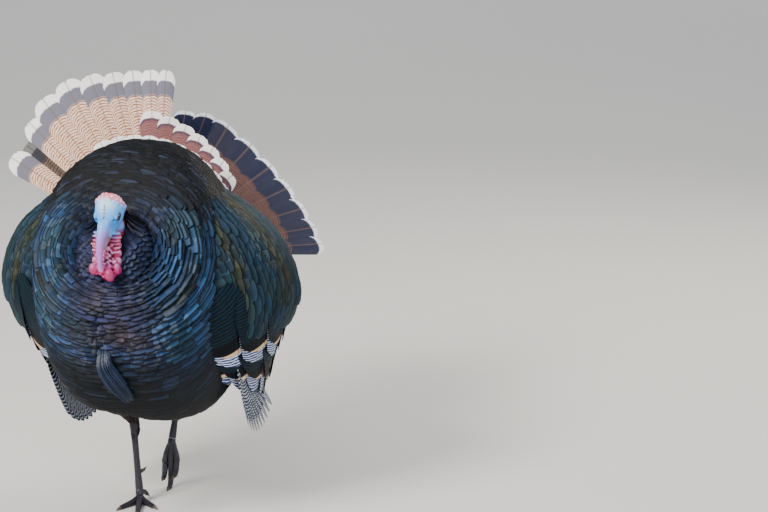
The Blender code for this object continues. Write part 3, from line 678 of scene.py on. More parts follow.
def on_object(made, kind, scale, out=0, **sockets):
    """A pattern of features 1 / `scale` metres across, fixed to the object."""
    place = node(made, "TexCoord", out="Object")
    return node(made, kind, {"Vector": place, "Scale": scale, **sockets}, out)


def mapped(made, value, low, high, start=0.0, end=1.0):
    """From `start` at `low` to `end` at `high`, and level beyond them."""
    limits = {"From Min": low, "From Max": high, "To Min": start, "To Max": end}
    return node(made, "MapRange", {"Value": value, **limits})


def skin_finish():
    """Living bare skin: soft and slightly waxy, with fine pores and creases and a little blood glow."""
    made = new_finish("bare waxy skin", 0.38, Coat_Weight=0.15, Subsurface_Weight=0.15,
                      Subsurface_Scale=0.003, Subsurface_Radius=(1.0, 0.35, 0.25))
    mottle = mapped(made, on_object(made, "TexNoise", 330.0, Detail=4.0), 0.0, 1.0, 0.80, 1.14)
    paint = node(made, "Attribute", attribute_name="skin")
    tone = node(made, "VectorMath", {0: paint, "Scale": mottle}, operation="SCALE")
    pore = on_object(made, "TexVoronoi", 620.0, "Distance")
    crease = on_object(made, "TexNoise", 900.0, Detail=3.0)
    return painted(made, tone, node(made, "Math", {0: pore, 1: crease}, operation="ADD"), 0.45, 0.0007)


show("skin", make_skin(), skin_finish(),
     ("head", "neck", "caruncles", "snood", "trunk", "thigh_left", "thigh_right"))


# ---------------------------------------------------------------- eyes and bill
# A dark brown eye with a round black pupil under a wet cornea, and a horn bill whose upper half hooks over
# the lower one.
def make_eyes():
    """Each eye is a ball whose front bulges a little more, with its pole turned outwards."""
    for name, side in (("eye_left", 1), ("eye_right", -1)):
        turn, spin = np.linspace(0.001, math.pi, 28), turns(36)
        reach = (EYE_RADIUS - 0.12) * (1 + 0.06 * bell(turn, 0, 0.6))
        rings = head_point(
            EYE_FORWARD + (reach * np.sin(turn))[:, None] * np.cos(spin),
            side * (EYE_SIDE + 0.6 + (reach * np.cos(turn))[:, None] + 0 * spin),
            EYE_UP + (reach * np.sin(turn))[:, None] * np.sin(spin),
        )
        mesh = join_shapes(name, [close_rings(stand(rings))])
        angle = np.concatenate([np.repeat(turn, 36), (0, math.pi)])
        tone = plain("#160d08", len(angle))
        tone[angle < 0.62] = colour("#3a1f10")
        tone[angle < 0.34] = colour("#040303")
        paint_vertices(mesh, "iris", tone)
        made = new_finish("wet eye", 0.06, IOR=1.38, Coat_Weight=0.6)
        painted(made, node(made, "Attribute", attribute_name="iris"))
        show(f"{name}_ball", mesh, made, (name,))


def horn_finish(name, dark, pale):
    """Keratin between a dark and a pale tone, with growth lines along it and a dull polish."""
    made = new_finish(name, 0.38)
    grain = on_object(made, "TexNoise", 240.0, Detail=4.0)
    return painted(made, mixed(made, grain, dark, pale), grain, 0.25, 0.0004)


def make_bill():
    """Rounds at stations of how far forward, half width, top and bottom, in head units."""
    upper = ((36.0, 8.6, 9.2, -1.5), (42, 7.9, 8.7, -1.2), (48, 6.9, 7.0, -0.7), (55, 5.4, 4.8, 0.6),
             (60, 4.0, 2.4, 2.4), (64, 2.3, -1.2, 4.8), (66, 0.9, -4.2, 6.3))
    lower = ((36.0, 7.8, -1.8, 9.8), (44, 6.7, -2.0, 8.1), (51, 5.0, -2.4, 6.7), (56, 3.3, -3.4, 5.9),
             (59, 1.4, -4.4, 5.4))
    horn = horn_finish("pale bill horn", "#6e5560", "#b898a4")
    turn = turns(28)
    for name, stations, nostril in (("bill_upper", upper, 0.22), ("bill_lower", lower, 0)):
        read = curve(stations, np.linspace(0, 1, 34))
        forward, wide, above, below = (read[:, k, None] for k in range(4))
        pit = nostril * bell(forward, 42.5, 2.2) * bell(abs(np.sin(turn)), 0.86, 0.10) * (np.cos(turn) > 0)
        up = (above - below) / 2 + np.cos(turn) * (above + below) / 2
        rings = head_point(np.broadcast_to(forward, (34, 28)), np.sin(turn) * wide * (1 - pit), up)
        show(f"{name}_horn", join_shapes(name, [close_rings(stand(rings))]), horn, (name,))


make_eyes()
make_bill()


# ---------------------------------------------------------------- body feathers
# Overlapping contour feathers cover the body in rows from the neck to the tail. Each has a blunt tip with a
# velvety black edge, which also paints the shade between rows, and a band of painted bronze, green and blue
# sheen.
FEATHER_THICKNESS = 0.0005
RADIUS_OF_BODY = 0.30  # roundness that a feather bends down with
SMALL_PATCH = (0.003, 0.003)  # a feather's share of the bake map


def vane_map(mesh, name, across, back, order):
    """Writes a UV map from two values for each vertex of the outer faces, repeated on the rear faces."""
    place = np.stack(np.broadcast_arrays(across, back), -1)
    place = place.reshape(len(place), -1, 2)
    place = np.concatenate([place, place], axis=1).reshape(-1, 2)
    mesh.uv_layers.new(name=name).data.foreach_set("uv", place[order].astype(np.float32).ravel())


def plates(name, vanes, tint, bake, material, slot, stands_for=(), thick=FEATHER_THICKNESS, tipped=True,
           patch=SMALL_PATCH):
    """One closed thin vane for each grid of top points (feather, row, column, xyz).

    `vanes` holds those points, then metres back from the tip and metres across from the shaft, which the map
    "vane" keeps. The underside is the top moved in along its own normal, and "OFBake" holds a small square at
    the root's place."""
    top, reach, half = vanes
    count, rows, columns = top.shape[:3]
    each = rows * columns
    normal = unit(np.cross(np.gradient(top, axis=2), np.gradient(top, axis=1)))
    points = np.stack([top, top - normal * thick], axis=1)
    upper = net_faces(rows, columns)
    rim = [(0, k) for k in range(columns)] + [(k, columns - 1) for k in range(1, rows)]
    rim += [(rows - 1, k) for k in range(columns - 2, -1, -1)] + [(k, 0) for k in range(rows - 2, 0, -1)]
    flat = np.array([r * columns + k for r, k in rim])
    after = np.roll(flat, -1)
    wall = np.stack([after, flat, flat + each, after + each], -1)
    pattern = np.concatenate([upper, upper[:, ::-1] + each, wall])
    faces = (pattern[None] + (np.arange(count) * 2 * each)[:, None, None]).reshape(-1, 4)
    mesh = grid_mesh(name, stand(points.reshape(-1, 3), tipped), faces)

    order = faces.ravel()
    zero = np.zeros((count, rows, columns))
    vane_map(mesh, "vane", half + zero, reach, order)
    across = bake[:, 0, None, None] + patch[0] * np.linspace(-0.5, 0.5, columns)
    back = bake[:, 1, None, None] + patch[1] * np.linspace(-0.5, 0.5, rows)[:, None]
    vane_map(mesh, "OFBake", across, back, order)
    shade = np.repeat(tint[:, None, :3], 2 * each, axis=1)
    outer = np.repeat((1.0, 0.0), each)[None, :, None] + np.zeros((count, 1, 1))
    paint_vertices(mesh, "tint", np.concatenate([shade, outer], axis=2))
    show(name, mesh, material, stands_for)


def widening(t, root, full):
    """Width along a feather: the share `root` at its root, and 1 from the share `full` of its length on."""
    return root + (1 - root) * np.sin(np.minimum(t / full, 1) * math.pi / 2)


def lay(root, lie, up, length, width, lift, blunt=0.3, cup=0.16, follow=RADIUS_OF_BODY):
    """Feather grids laid on a surface: each runs along `lie` from its root, rises by `lift` of its length,
    bends down with the roundness `follow`, cups across, and ends in a rounded blunt tip."""
    t, u = np.array((0, 0.30, 0.55, 0.76, 0.91, 1.0)), np.array((-1, -0.64, 0, 0.64, 1))
    length, width, lift, blunt = (
        np.broadcast_to(value, len(root))[:, None, None] for value in (length, width, lift, blunt)
    )
    y = length * t[:, None] * (1 - blunt * np.abs(u) ** 3.0)
    x = width / 2 * u * widening(t, 0.35, 0.5)[:, None]
    z = lift * y - y**2 / (2 * follow) - cup * x**2 / width
    grid = root[:, None, None] + lie[:, None, None] * y[..., None]
    grid = grid + np.cross(lie, up)[:, None, None] * x[..., None] + up[:, None, None] * z[..., None]
    return grid, length * (1 - t[:, None]) + 0 * x, x


def maths(made, operation, *values):
    """One sum on numbers or other nodes' outputs."""
    return node(made, "Math", dict(enumerate(values)), operation=operation)


def vane_of(made):
    """A feather's own places for its finish: its map, metres off the shaft, and metres back from the tip."""
    vane = node(made, "UVMap", uv_map="vane")
    across, back = node(made, "SeparateXYZ", {0: vane}).node.outputs[:2]
    return vane, maths(made, "ABSOLUTE", across), back


def barbs(made, off_shaft, back, slope, spacing):
    """The ripple of barbs that slant out from the shaft, `spacing` metres apart."""
    slant = maths(made, "MULTIPLY_ADD", off_shaft, slope, back)
    return maths(made, "SINE", maths(made, "MULTIPLY", slant, 2 * math.pi / spacing))


def coat_finish(name, edge, sheen, roughness=0.42, edge_width=0.0014, metallic=0.3, specular=0.28):
    """Body feathers: a velvety dark edge, which also paints the shade between rows, then a band of painted
    sheen whose hue drifts over the body and whose brightness fades to a dull downy root, with barbs that
    slant out from the shaft."""
    made = new_finish(name, roughness, Metallic=metallic, Specular_IOR_Level=specular)
    _, off_shaft, back = vane_of(made)
    hue = node(made, "ValToRGB", {0: on_object(made, "TexNoise", 11.0, Detail=2.0)})
    stops = hue.node.color_ramp.elements
    stops[0].position, stops[0].color = 0.36, colour(sheen[0])
    stops[1].position, stops[1].color = 0.64, colour(sheen[2])
    stops.new(0.50).color = colour(sheen[1])
    tint = node(made, "Attribute", attribute_name="tint")
    tone = mixed(made, 0.5, tint, hue, blend_type="MULTIPLY")
    # Painted sheen: full brightness just behind the dark edge, darkening to 0.35 by 15 mm back towards the
    # root.
    painted_sheen_falloff = mapped(made, back, edge_width * 2.5, 0.015, 1.0, 0.35)
    lit = node(made, "VectorMath", {0: tone, "Scale": painted_sheen_falloff}, operation="SCALE")
    # The dark edge is the feathers' black tip, drawn wide enough to paint the shade between rows too.
    edged = mixed(made, mapped(made, back, edge_width * 0.6, edge_width * 1.6, 1.0, 0.0), lit, edge)
    return painted(made, edged, barbs(made, off_shaft, back, 1.0, 0.0016), 0.35, 0.0004)


def under_wing(points):
    """True where the wings' plates would hide a feather, seen from the bird's side."""
    hidden = np.zeros(len(points), bool)
    for side, sign in (("left", 1), ("right", -1)):
        low, high = (np.array(corner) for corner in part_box(f"wing_{side}"))
        middle = (low + high) / 2 - BIRD_PLACE + (0, 0.030, 0)
        off = (points - middle) / ((high - low) / 2 * 0.66)
        hidden |= (off[:, 1] ** 2 + off[:, 2] ** 2 < 1) & (sign * points[:, 0] > 0.13)
    return hidden


def collar(share, turn):
    """The ruff's outline: from close round the bare neck out on to the body's first ring."""
    share, turn = np.broadcast_arrays(np.asarray(share, float), np.asarray(turn, float))
    sine, cosine = np.sin(turn), np.cos(turn)
    height = 0.614 - 0.024 * (cosine < 0) * cosine**2 + 0.022 * cosine
    neck = np.stack([0.033 * sine, -0.177 + 0.032 * cosine, height], -1)
    swell = 0.006 * np.sin(math.pi * np.clip(share, 0, 1))
    outward = np.stack([sine, cosine, 0 * sine], -1)
    return neck + (trunk(0.03, turn) - neck) * share[..., None] + outward * swell[..., None]


def feather_width(share, turn):
    """How wide the feathers grow: small squares on the middle of the breast, broad bands on flanks and belly,
    and never more than the roundness of the body lets lie flat."""
    centre = bell(share, 0.12, 0.13) * ramp(-np.cos(turn), 0.45, 0.80)
    mantle = ramp(np.cos(turn), 0, 0.4) * ramp(share, 0.7, 0.6)
    widest = 0.54 * curve(TRUNK_HALF_WIDTH, np.clip(share, 0, 1))[..., 0]
    return np.minimum(0.076 - 0.050 * centre - 0.036 * mantle, widest)


def ring_spots(shares, counts):
    """Shares and turns of even spots on rings round the body, every other ring shifted by half a step."""
    turn = [(np.arange(count) + 0.5 * (k % 2)) * 2 * math.pi / count for k, count in enumerate(counts)]
    return np.repeat(shares, counts), np.concatenate(turn)


def bake_place(across, back, size=0.96, margin=0.02):
    """Places on the square bake map, from a share of a turn and a share of the way back."""
    return np.stack([across % 1.0, np.clip(back, 0, 1)], -1) * size + margin


def uneven(count, least, more):
    """How bright each of `count` feathers is: from `least` to `more` above it."""
    return least + more * chance.random((count, 1))


def make_coat():
    """All the body's feathers, row after row from the neck to the tail, in six pieces, and the ruff."""
    rows = []
    for k, share in enumerate(np.linspace(0.0, 0.995, 104)):
        ring = np.linspace(0, 2 * math.pi, 361)
        steps = np.linalg.norm(np.diff(trunk(share, ring), axis=0), axis=1)
        room = 0.56 * feather_width(share, (ring[1:] + ring[:-1]) / 2)
        places = np.concatenate([(0,), np.cumsum(steps / room)])
        across = int(places[-1])
        at = (np.arange(across) + 0.5 * (k % 2) + 0.10 * chance.normal(size=across)) * places[-1] / across
        turn = np.interp(at % places[-1], places, ring)
        rows.append(np.stack([share + 0.0010 * chance.normal(size=across), turn], -1))
    share, turn = np.concatenate(rows).T
    root, lie, up = frame_on(trunk, share, turn)
    keep = ~under_wing(root)
    share, turn, root, lie, up = (x[keep] for x in (share, turn, root, lie, up))
    size = 0.62 + 0.38 * ramp(share, -0.02, 0.12)
    jitter, count = chance.random(len(root)), len(root)
    width = feather_width(share, turn) * (0.95 + 0.12 * chance.random(count))
    edge = cape_edge(share, turn)
    length = 0.052 * size * (0.93 + 0.14 * chance.random(count)) * (1 + 0.16 * edge)
    deep = COAT_DEPTH * size
    root = root - up * deep[:, None]
    lift = deep / length + length / (2 * RADIUS_OF_BODY)
    lift = lift * (0.95 + 0.11 * chance.random(count)) * (1 + 0.10 * edge)
    lie = unit(lie + np.cross(lie, up) * (0.024 * chance.normal(size=count))[:, None])
    vanes = lay(root, lie, up, length, width, lift, 0.025 + 0.05 * chance.random(count), 0.20)
    x, y, z = root.T
    dull, belly = ramp(z, 0.60, 0.63) * ramp(y, -0.15, -0.10), ramp(z, 0.38, 0.34)
    # Each feather's tone varies at random; the jitter**6 term lifts a few feathers into painted highlights,
    # most on the back, where they are partly its grey-brown dashes, and on the belly.
    shade = 0.42 + 0.80 * jitter + (0.5 + 3.4 * dull + 1.2 * belly) * jitter**6
    tint = markings(vanes[0][:, -1, 2], share, turn) * shade[:, None]
    bake = bake_place(turn / (2 * math.pi), share, 0.88, 0.01)

    ruff_share, ruff_turn = ring_spots(np.linspace(-0.04, 0.92, 8), 20 + 2 * np.arange(8))
    root_r, lie_r, up_r = frame_on(collar, ruff_share, ruff_turn)
    count = len(root_r)
    ruff = lay(root_r - up_r * 0.003, lie_r, up_r, 0.030 + 0.006 * chance.random(count), 0.0175,
               0.30 + 0.08 * chance.random(count), 0.18)
    ruff_tint = markings(ruff[0][:, -1, 2], 0 * ruff_share, ruff_turn)
    ruff_tint = ruff_tint * uneven(count, 0.55, 0.80)
    ruff_bake = bake_place(ruff_turn / (2 * math.pi), 0.96 + 0.02 * ruff_share, 0.88, 0.01)

    hues, grey_hues = ("#7fd0c4", "#9fb0ff", "#ffc79a"), ("#c8d4ff", "#dce0f4", "#f0e4dc")
    sheen = coat_finish("iridescent body feathers", "#030406", hues, edge_width=0.0017)
    dark = coat_finish("sooty back feathers", "#020203", grey_hues, 0.5, 0.0018, 0.1, 0.2)
    plates("coat_ruff", ruff, ruff_tint, ruff_bake, sheen, "coat")
    back = (z > 0.60) & (y > -0.145) | (y > 0.14) & (z > 0.42)
    for region, on_region, finish in (
        ("breast", ~back & (share < 0.34), sheen),
        ("belly", ~back & (share >= 0.34), sheen),
        ("back", back, dark),
    ):
        for side, on_side in (("left", x >= 0), ("right", x < 0)):
            own = on_region & on_side
            plates(f"coat_{region}_{side}", [v[own] for v in vanes], tint[own], bake[own], finish, "coat")


make_coat()


# ---------------------------------------------------------------- tail
# Eighteen broad rectrices make the fan: the right half stands upright, the left half is swept back. Each is
# finely barred, with a dark band and a broad white tip, and two rows of coverts lie against their roots. The
# halves are painted as lit and shaded copies of one colouring: the upright half sunlit, with a pale
# mauve-grey band and pink ground, the swept half in shade, with a navy band.
TAIL_ROOT = np.array((-0.050, 0.200, 0.482))
TAIL_LEAN = math.radians(21)
LEFT_SWEEP, LEFT_TWIST, LEFT_FLAT = math.radians(28), 0.9, math.radians(12)
TAIL_LENGTH = 0.386
RECTRICES = 9  # in each half


def fan_point(half, angle, radius, lift):
    """A point `radius` from the fan's root, at `angle` to the bird's left, `lift` in front of its plane."""
    angle, radius, lift = np.broadcast_arrays(angle, radius, lift)
    lean = TAIL_LEAN + 0 * angle
    if half == "left":
        lean = lean + LEFT_SWEEP + LEFT_TWIST * np.maximum(angle - LEFT_FLAT, 0)
    outward = np.stack([np.sin(angle), np.cos(angle) * np.sin(lean), np.cos(angle) * np.cos(lean)], axis=-1)
    front = np.stack([0 * lean, -np.cos(lean), np.sin(lean)], axis=-1)
    return TAIL_ROOT + outward * radius[..., None] + lift[..., None] * front


def notched_tip(count, u, round_off, splits, depth, square=3.6):
    """How far each column reaches, as a share of the feather: a ragged, rounded end with a few splits."""
    tip = 1 - round_off * np.abs(u) ** square + 0.0008 * chance.normal(size=(count, len(u)))
    for i in range(count):
        for k in chance.choice(np.arange(2, len(u) - 2), splits, replace=False):
            tip[i, k] -= depth * (0.4 + 0.6 * chance.random())
    return tip


def fan_feathers(half, low, high, reach, start, lift, step, size, overlap=1.24, depth=0.010, round_off=0.060):
    """Grids of feathers between angles `low` and `high`, each wider than its share to overlap the next."""
    rows, columns = size
    u, t = np.linspace(-1, 1, columns), np.linspace(0, 1, rows)[:, None] ** 0.8
    tip = notched_tip(len(low), u, round_off, 1, depth)[:, None, :]
    each = ((low + high) / 2, (high - low) / 2, reach, lift)
    middle, spread, reach, lift = (value[:, None, None] for value in each)
    angle = middle + spread * overlap * u * (1 - 0.12 * (1 - t) ** 2)
    radius = start + (reach * tip - start) * t
    top = fan_point(half, angle, radius, lift + step * u * t - 0.004 * (u**2) * t)
    from_tip = reach * (1 - 0.5 * (1 - tip)) - radius  # half way to a straight-ended band
    return top, from_tip, radius * (angle - middle)


def barred_finish(name, tip_width, band_width, colours, bar=0.0064, warp=0.0020, gap=0.0, ragged=0.006,
                  shaft="#6f5648", gloss=0.25):
    """A large vane: pale tip, dark band, then wavy bars of `bar` metres, on both faces, with a horny shaft
    and slanting barbs; `gap` thins the bars and `ragged` is how far, in metres, the tip's edge wanders."""
    tip, dark, ground, line, rear = colours
    made = new_finish(name, 0.55, Specular_IOR_Level=gloss)
    vane, off_shaft, back = vane_of(made)
    tint = node(made, "Attribute", attribute_name="tint").node.outputs
    wobble = node(made, "TexNoise", {"Vector": vane, "Scale": 95.0, "Detail": 3.0})
    bent = maths(made, "MULTIPLY_ADD", off_shaft, -0.10, maths(made, "MULTIPLY_ADD", wobble, warp * 4, back))
    wave = maths(made, "SINE", maths(made, "MULTIPLY", bent, 2 * math.pi / bar))
    edge = maths(made, "MULTIPLY_ADD", wobble, ragged, back)
    band_end = tip_width + band_width
    face = mixed(made, tint["Alpha"], rear, ground)
    for share, tone in (
        (mapped(made, wave, gap, gap + 0.45), line),
        (mapped(made, edge, band_end, band_end + 0.006, 1.0, 0.0), dark),
        (mapped(made, edge, tip_width, tip_width + 0.0025, 1.0, 0.0), tip),
        (mapped(made, off_shaft, 0.0006, 0.0022, 0.55, 0.0), shaft),
    ):
        face = mixed(made, share, face, tone)
    toned = mixed(made, 1.0, face, tint["Color"], blend_type="MULTIPLY")
    return painted(made, toned, barbs(made, off_shaft, back, 1.1, 0.0018), 0.3, 0.0004)


def long_plates(name, vanes, shade, finish, slot, stands_for, thick, show_plates=plates):
    """Plates for side-by-side long feathers, each with a strip of the bake map to itself."""
    count = len(shade)
    middles = np.stack([(np.arange(count) + 0.5) / count, np.full(count, 0.5)], -1)
    show_plates(name, vanes, shade, middles, finish, slot, stands_for, thick, patch=(0.92 / count, 0.94))


def make_fan():
    """Both halves of the fan, painted sunlit and in shade; in the upright one a narrow feather, darkened as
    painted shade, shows between the two outermost.
    """
    steps = np.linspace(0, 1, RECTRICES + 1)
    # Painted light: `warm` colours the upright half as sunlit and shining through, and the other set colours
    # the swept half as in shade.
    warm = ("#fffdf8", "#716f7c", "#f2d3bf", "#a3643f", "#5b4636")
    painted_shade_colours = ("#f2f4fb", "#10183a", "#70493f", "#4a3038", "#54402f")
    upright = barred_finish("upright rectrices", 0.024, 0.031, warm)
    swept = barred_finish("swept rectrices", 0.012, 0.060, painted_shade_colours)
    for half, edge, finish in (
        ("right", -np.radians(-6 + 42 * steps + 28 * steps**2), upright),
        ("left", np.radians(-2 + 64 * steps), swept),
    ):
        low, high = np.minimum(edge[:-1], edge[1:]), np.maximum(edge[:-1], edge[1:])
        middle = abs(np.degrees(low + high) / 2)
        longer = 0.028 * bell(middle, 33, 14) if half == "right" else -0.004
        reach = TAIL_LENGTH + longer - 0.012 * (middle / 60) ** 6
        order = -0.0016 * np.arange(RECTRICES) + 0.001
        shade = np.ones((RECTRICES, 4)) * uneven(RECTRICES, 0.90, 0.18)
        if half == "right":
            low[-2], high[-1] = math.radians(-51.0), math.radians(-56.5)
            low, high = np.append(low, math.radians(-57.5)), np.append(high, math.radians(-50.0))
            reach, order = np.append(reach, 0.368), np.append(order, -0.019)
            # The narrow feather behind the two outermost is darkened to 0.16 as painted shade, which also
            # greys its white tip.
            shade = np.vstack([shade, np.full((1, 4), 0.16)])
        vanes = fan_feathers(half, low, high, reach, 0.030, order, -0.0022, (30, 25))
        long_plates(f"rectrices_{half}", vanes, shade, finish, "tail_feathers", (f"tail_{half}",), 0.0007)


def make_coverts():
    """Two rows of tail coverts before the upright half: red-brown with broad white ends."""
    warm = barred_finish("chestnut tail coverts", 0.017, 0.005,
                         ("#faf5f2", "#54384a", "#8f5a50", "#6e4250", "#3c2c28"), 0.0055)
    for name, low, high, count, length, taper, lift in (
        ("tail_coverts_long", -5, 51, 7, 0.294, 0.068, 0.0085),
        ("tail_coverts_short", -32, 55, 10, 0.238, 0.028, 0.0165),
    ):
        edges = np.radians(np.linspace(low, high, count + 1))
        first, last = edges[:-1], edges[1:]
        reach = length - taper * (first + last) / 2
        order = lift + 0.0008 * np.arange(count)
        vanes = fan_feathers("right", first, last, reach, 0.034, order, -0.0015, (18, 15), 1.5, 0.006, 0.09)
        shade = np.ones((count, 4)) * uneven(count, 0.85, 0.25)
        long_plates(f"{name}_vanes", vanes, shade, warm, "tail_coverts", (name,), 0.0006)


def skirt(share, angle):
    """The dome of under-tail coverts: `share` of the way out from the fan's root, at `angle` round it."""
    share, angle = np.broadcast_arrays(np.asarray(share, float), np.asarray(angle, float))
    left, up = np.array((1.0, 0.0, 0.0)), np.array((0.0, math.sin(TAIL_LEAN), math.cos(TAIL_LEAN)))
    radius = 0.010 + (0.170 + 0.010 * np.cos(angle * 3)) * share
    dish = 0.060 + 0.022 * np.sin(share * math.pi * 0.75) - 0.008 * share
    outward = np.sin(angle)[..., None] * left + np.cos(angle)[..., None] * up
    behind = -np.cross(left, up)
    return TAIL_ROOT + (0.030, 0, 0) + outward * radius[..., None] + behind * dish[..., None]


def make_skirt():
    """Rows of soft dark coverts over the dome, each ending in a narrow buff edge."""
    shares, angles = [], []
    for k, share in enumerate(np.linspace(0.04, 0.80, 13)):
        across = max(6, int((0.010 + 0.170 * share) * math.radians(192) / 0.021))
        shares.append(np.full(across, share))
        angles.append(np.radians(84 + 192 * (np.arange(across) + 0.5 + 0.25 * (k % 2 * 2 - 1)) / across))
    share, angle = np.concatenate(shares), np.concatenate(angles)
    root, lie, up = frame_on(skirt, share, angle)
    up = up * np.sign(np.sum(up * np.array((0, 1.0, -0.3)), axis=1, keepdims=True))
    count = len(root)
    length = 0.052 + 0.012 * chance.random(count)
    vanes = lay(root - up * 0.004, lie, up, length, 0.034, 0.16, follow=0.4)
    tint = plain("#1d1716", count) * uneven(count, 0.7, 0.6)
    hues = ("#e8c8b0", "#f0e0d0", "#ffd8b0")
    soft = coat_finish("buff-edged under-tail coverts", "#8f7350", hues, 0.6, 0.0014, 0.0, 0.15)
    bake = bake_place(np.degrees(angle) / 360, share)
    plates("tail_coverts_below", vanes, tint, bake, soft, "tail_coverts", ("tail_coverts_under",))


make_fan()
make_coverts()
make_skirt()


# ---------------------------------------------------------------- wings
# Each wing is drooped in the strut: small bronze coverts over the arm, then greater coverts, the broad barred
# secondaries behind them, and the long primaries lowered from the wrist.
WING_NET = np.array((  # millimetres: rows down the wing, columns back from its leading edge
    ((100, -115, 580), (138, -68, 626), (140, 15, 645), (128, 105, 636), (92, 190, 590)),
    ((150, -165, 515), (208, -108, 556), (244, -10, 572), (230, 100, 562), (175, 212, 525)),
    ((160, -185, 430), (244, -122, 455), (292, -20, 465), (272, 100, 450), (208, 225, 415)),
    ((150, -165, 345), (214, -112, 352), (254, -20, 356), (242, 90, 340), (204, 200, 310)),
    ((150, -115, 300), (194, -82, 286), (216, 0, 272), (212, 72, 258), (190, 150, 240)),
)) / 1000
WING_WIDTH = 0.31  # metres for one unit of `back`
WRIST = np.array((0.200, -0.110, 0.345))


def wing(back, down):
    """The left wing's outer face, at shares back from its leading edge and down from the shoulder."""
    back, down = np.broadcast_arrays(np.asarray(back, float), np.asarray(down, float))
    return np.einsum("...i,...j,ijk->...k", curve(np.eye(5), down), curve(np.eye(5), back), WING_NET)


def wing_vanes(start, end, width, lift, tilt, round_off):
    """Long feathers along the wing's face from `start` to `end`, both (back, down), with one edge raised."""
    t, u = np.linspace(0, 1, 20)[:, None], np.linspace(-1, 1, 13)
    tip = notched_tip(len(start), u, round_off, 0, 0.0, 2.4)[:, None, :]
    broad = widening(t, 0.55, 0.5)
    run = (end - start)[:, None, None]
    beside = unit(np.stack([-run[..., 1], run[..., 0]], -1))
    out = width / 2 / WING_WIDTH * u * broad
    place = start[:, None, None] + run * (t * tip)[..., None] + beside * out[..., None]
    place[..., 0] *= np.where(place[..., 0] < 0, 0.12, 1.0)  # the front ones tuck in at the leading edge
    surface, _, normal = frame_on(wing, place[..., 0], place[..., 1])
    top = surface + normal * np.sign(normal[..., :1]) * (lift + tilt * u * t)[..., None]
    length = np.linalg.norm(top[:, -1, 6] - top[:, 0, 6], axis=1)[:, None, None]
    from_tip = length * (1 - t * (1 + tip) / 2)
    return top, from_tip, width / 2 * u * broad + 0 * from_tip


def both_sides(name, vanes, tint, bake, finish, slot, stands_for, thick=FEATHER_THICKNESS, patch=SMALL_PATCH):
    """The left side's feathers, and their mirror image on the right."""
    top, back, across = vanes
    mirrored = (top[:, :, ::-1] * np.array((-1, 1, 1)), back[:, :, ::-1], -across[:, :, ::-1])
    for side, own in (("left", vanes), ("right", mirrored)):
        nodes = tuple(f"{part}_{side}" for part in stands_for)
        plates(f"{name}_{side}", own, tint, bake, finish, slot, nodes, thick, patch=patch)


def make_wing_coverts():
    """Rows of coverts over the arm, from the leading edge back: small ones first, then longer and broader."""
    rows = []
    for k, back in enumerate(np.linspace(-0.02, 0.62, 25)):
        tall = np.linalg.norm(np.diff(wing(back, np.linspace(0.01, 0.99, 60)), axis=0), axis=1).sum()
        grow = min(1, max(0, back) / 0.45)
        wide = 0.036 + 0.020 * grow
        across = int(tall / (wide * 0.62))
        down = 0.01 + 0.97 * (np.arange(across) + 0.5 * (k % 2) + 0.12 * chance.normal(size=across)) / across
        backs = back + 0.004 * chance.normal(size=across)
        rows.append(np.stack([backs, down, np.full(across, 0.044 + 0.028 * grow), np.full(across, wide)]))
    rows = np.concatenate(rows, axis=1)
    back, down, length, width = rows[:, rows[1] < 0.62]
    count = len(back)
    jitter = chance.random(count)
    lift = 0.24 + 0.06 * chance.random(count)
    root, lie, up = frame_on(wing, back, down)
    lie = lie + unit(wing(back, down + 1e-3) - wing(back, down - 1e-3)) * (0.10 + 0.35 * down)[:, None]
    lie = unit(lie - up * np.sum(lie * up, axis=1, keepdims=True))
    up = up * np.sign(up[:, :1])
    vanes = lay(root - up * 0.0085, lie, up, length * (0.94 + 0.12 * jitter), width, lift, 0.10, 0.16, 0.26)
    olive = (bell(back, 0.12, 0.028) + bell(back, 0.36, 0.032)) * ramp(down, 0.60, 0.40) * 0.75
    tint = layered(plain("#1f3946", count), ("#413e1e", olive)) * (0.72 + 0.56 * jitter[:, None])
    bake = np.stack([np.clip(back, 0, 1), np.clip(down, 0, 1)], -1) * 0.96 + 0.02
    hues = ("#a8d8a0", "#a0c8ff", "#ffd090")
    bronze = coat_finish("bronzed wing coverts", "#040506", hues, 0.48, specular=0.2)
    both_sides("wing_coverts", vanes, tint, bake, bronze, "wing_feathers", ("wing",))


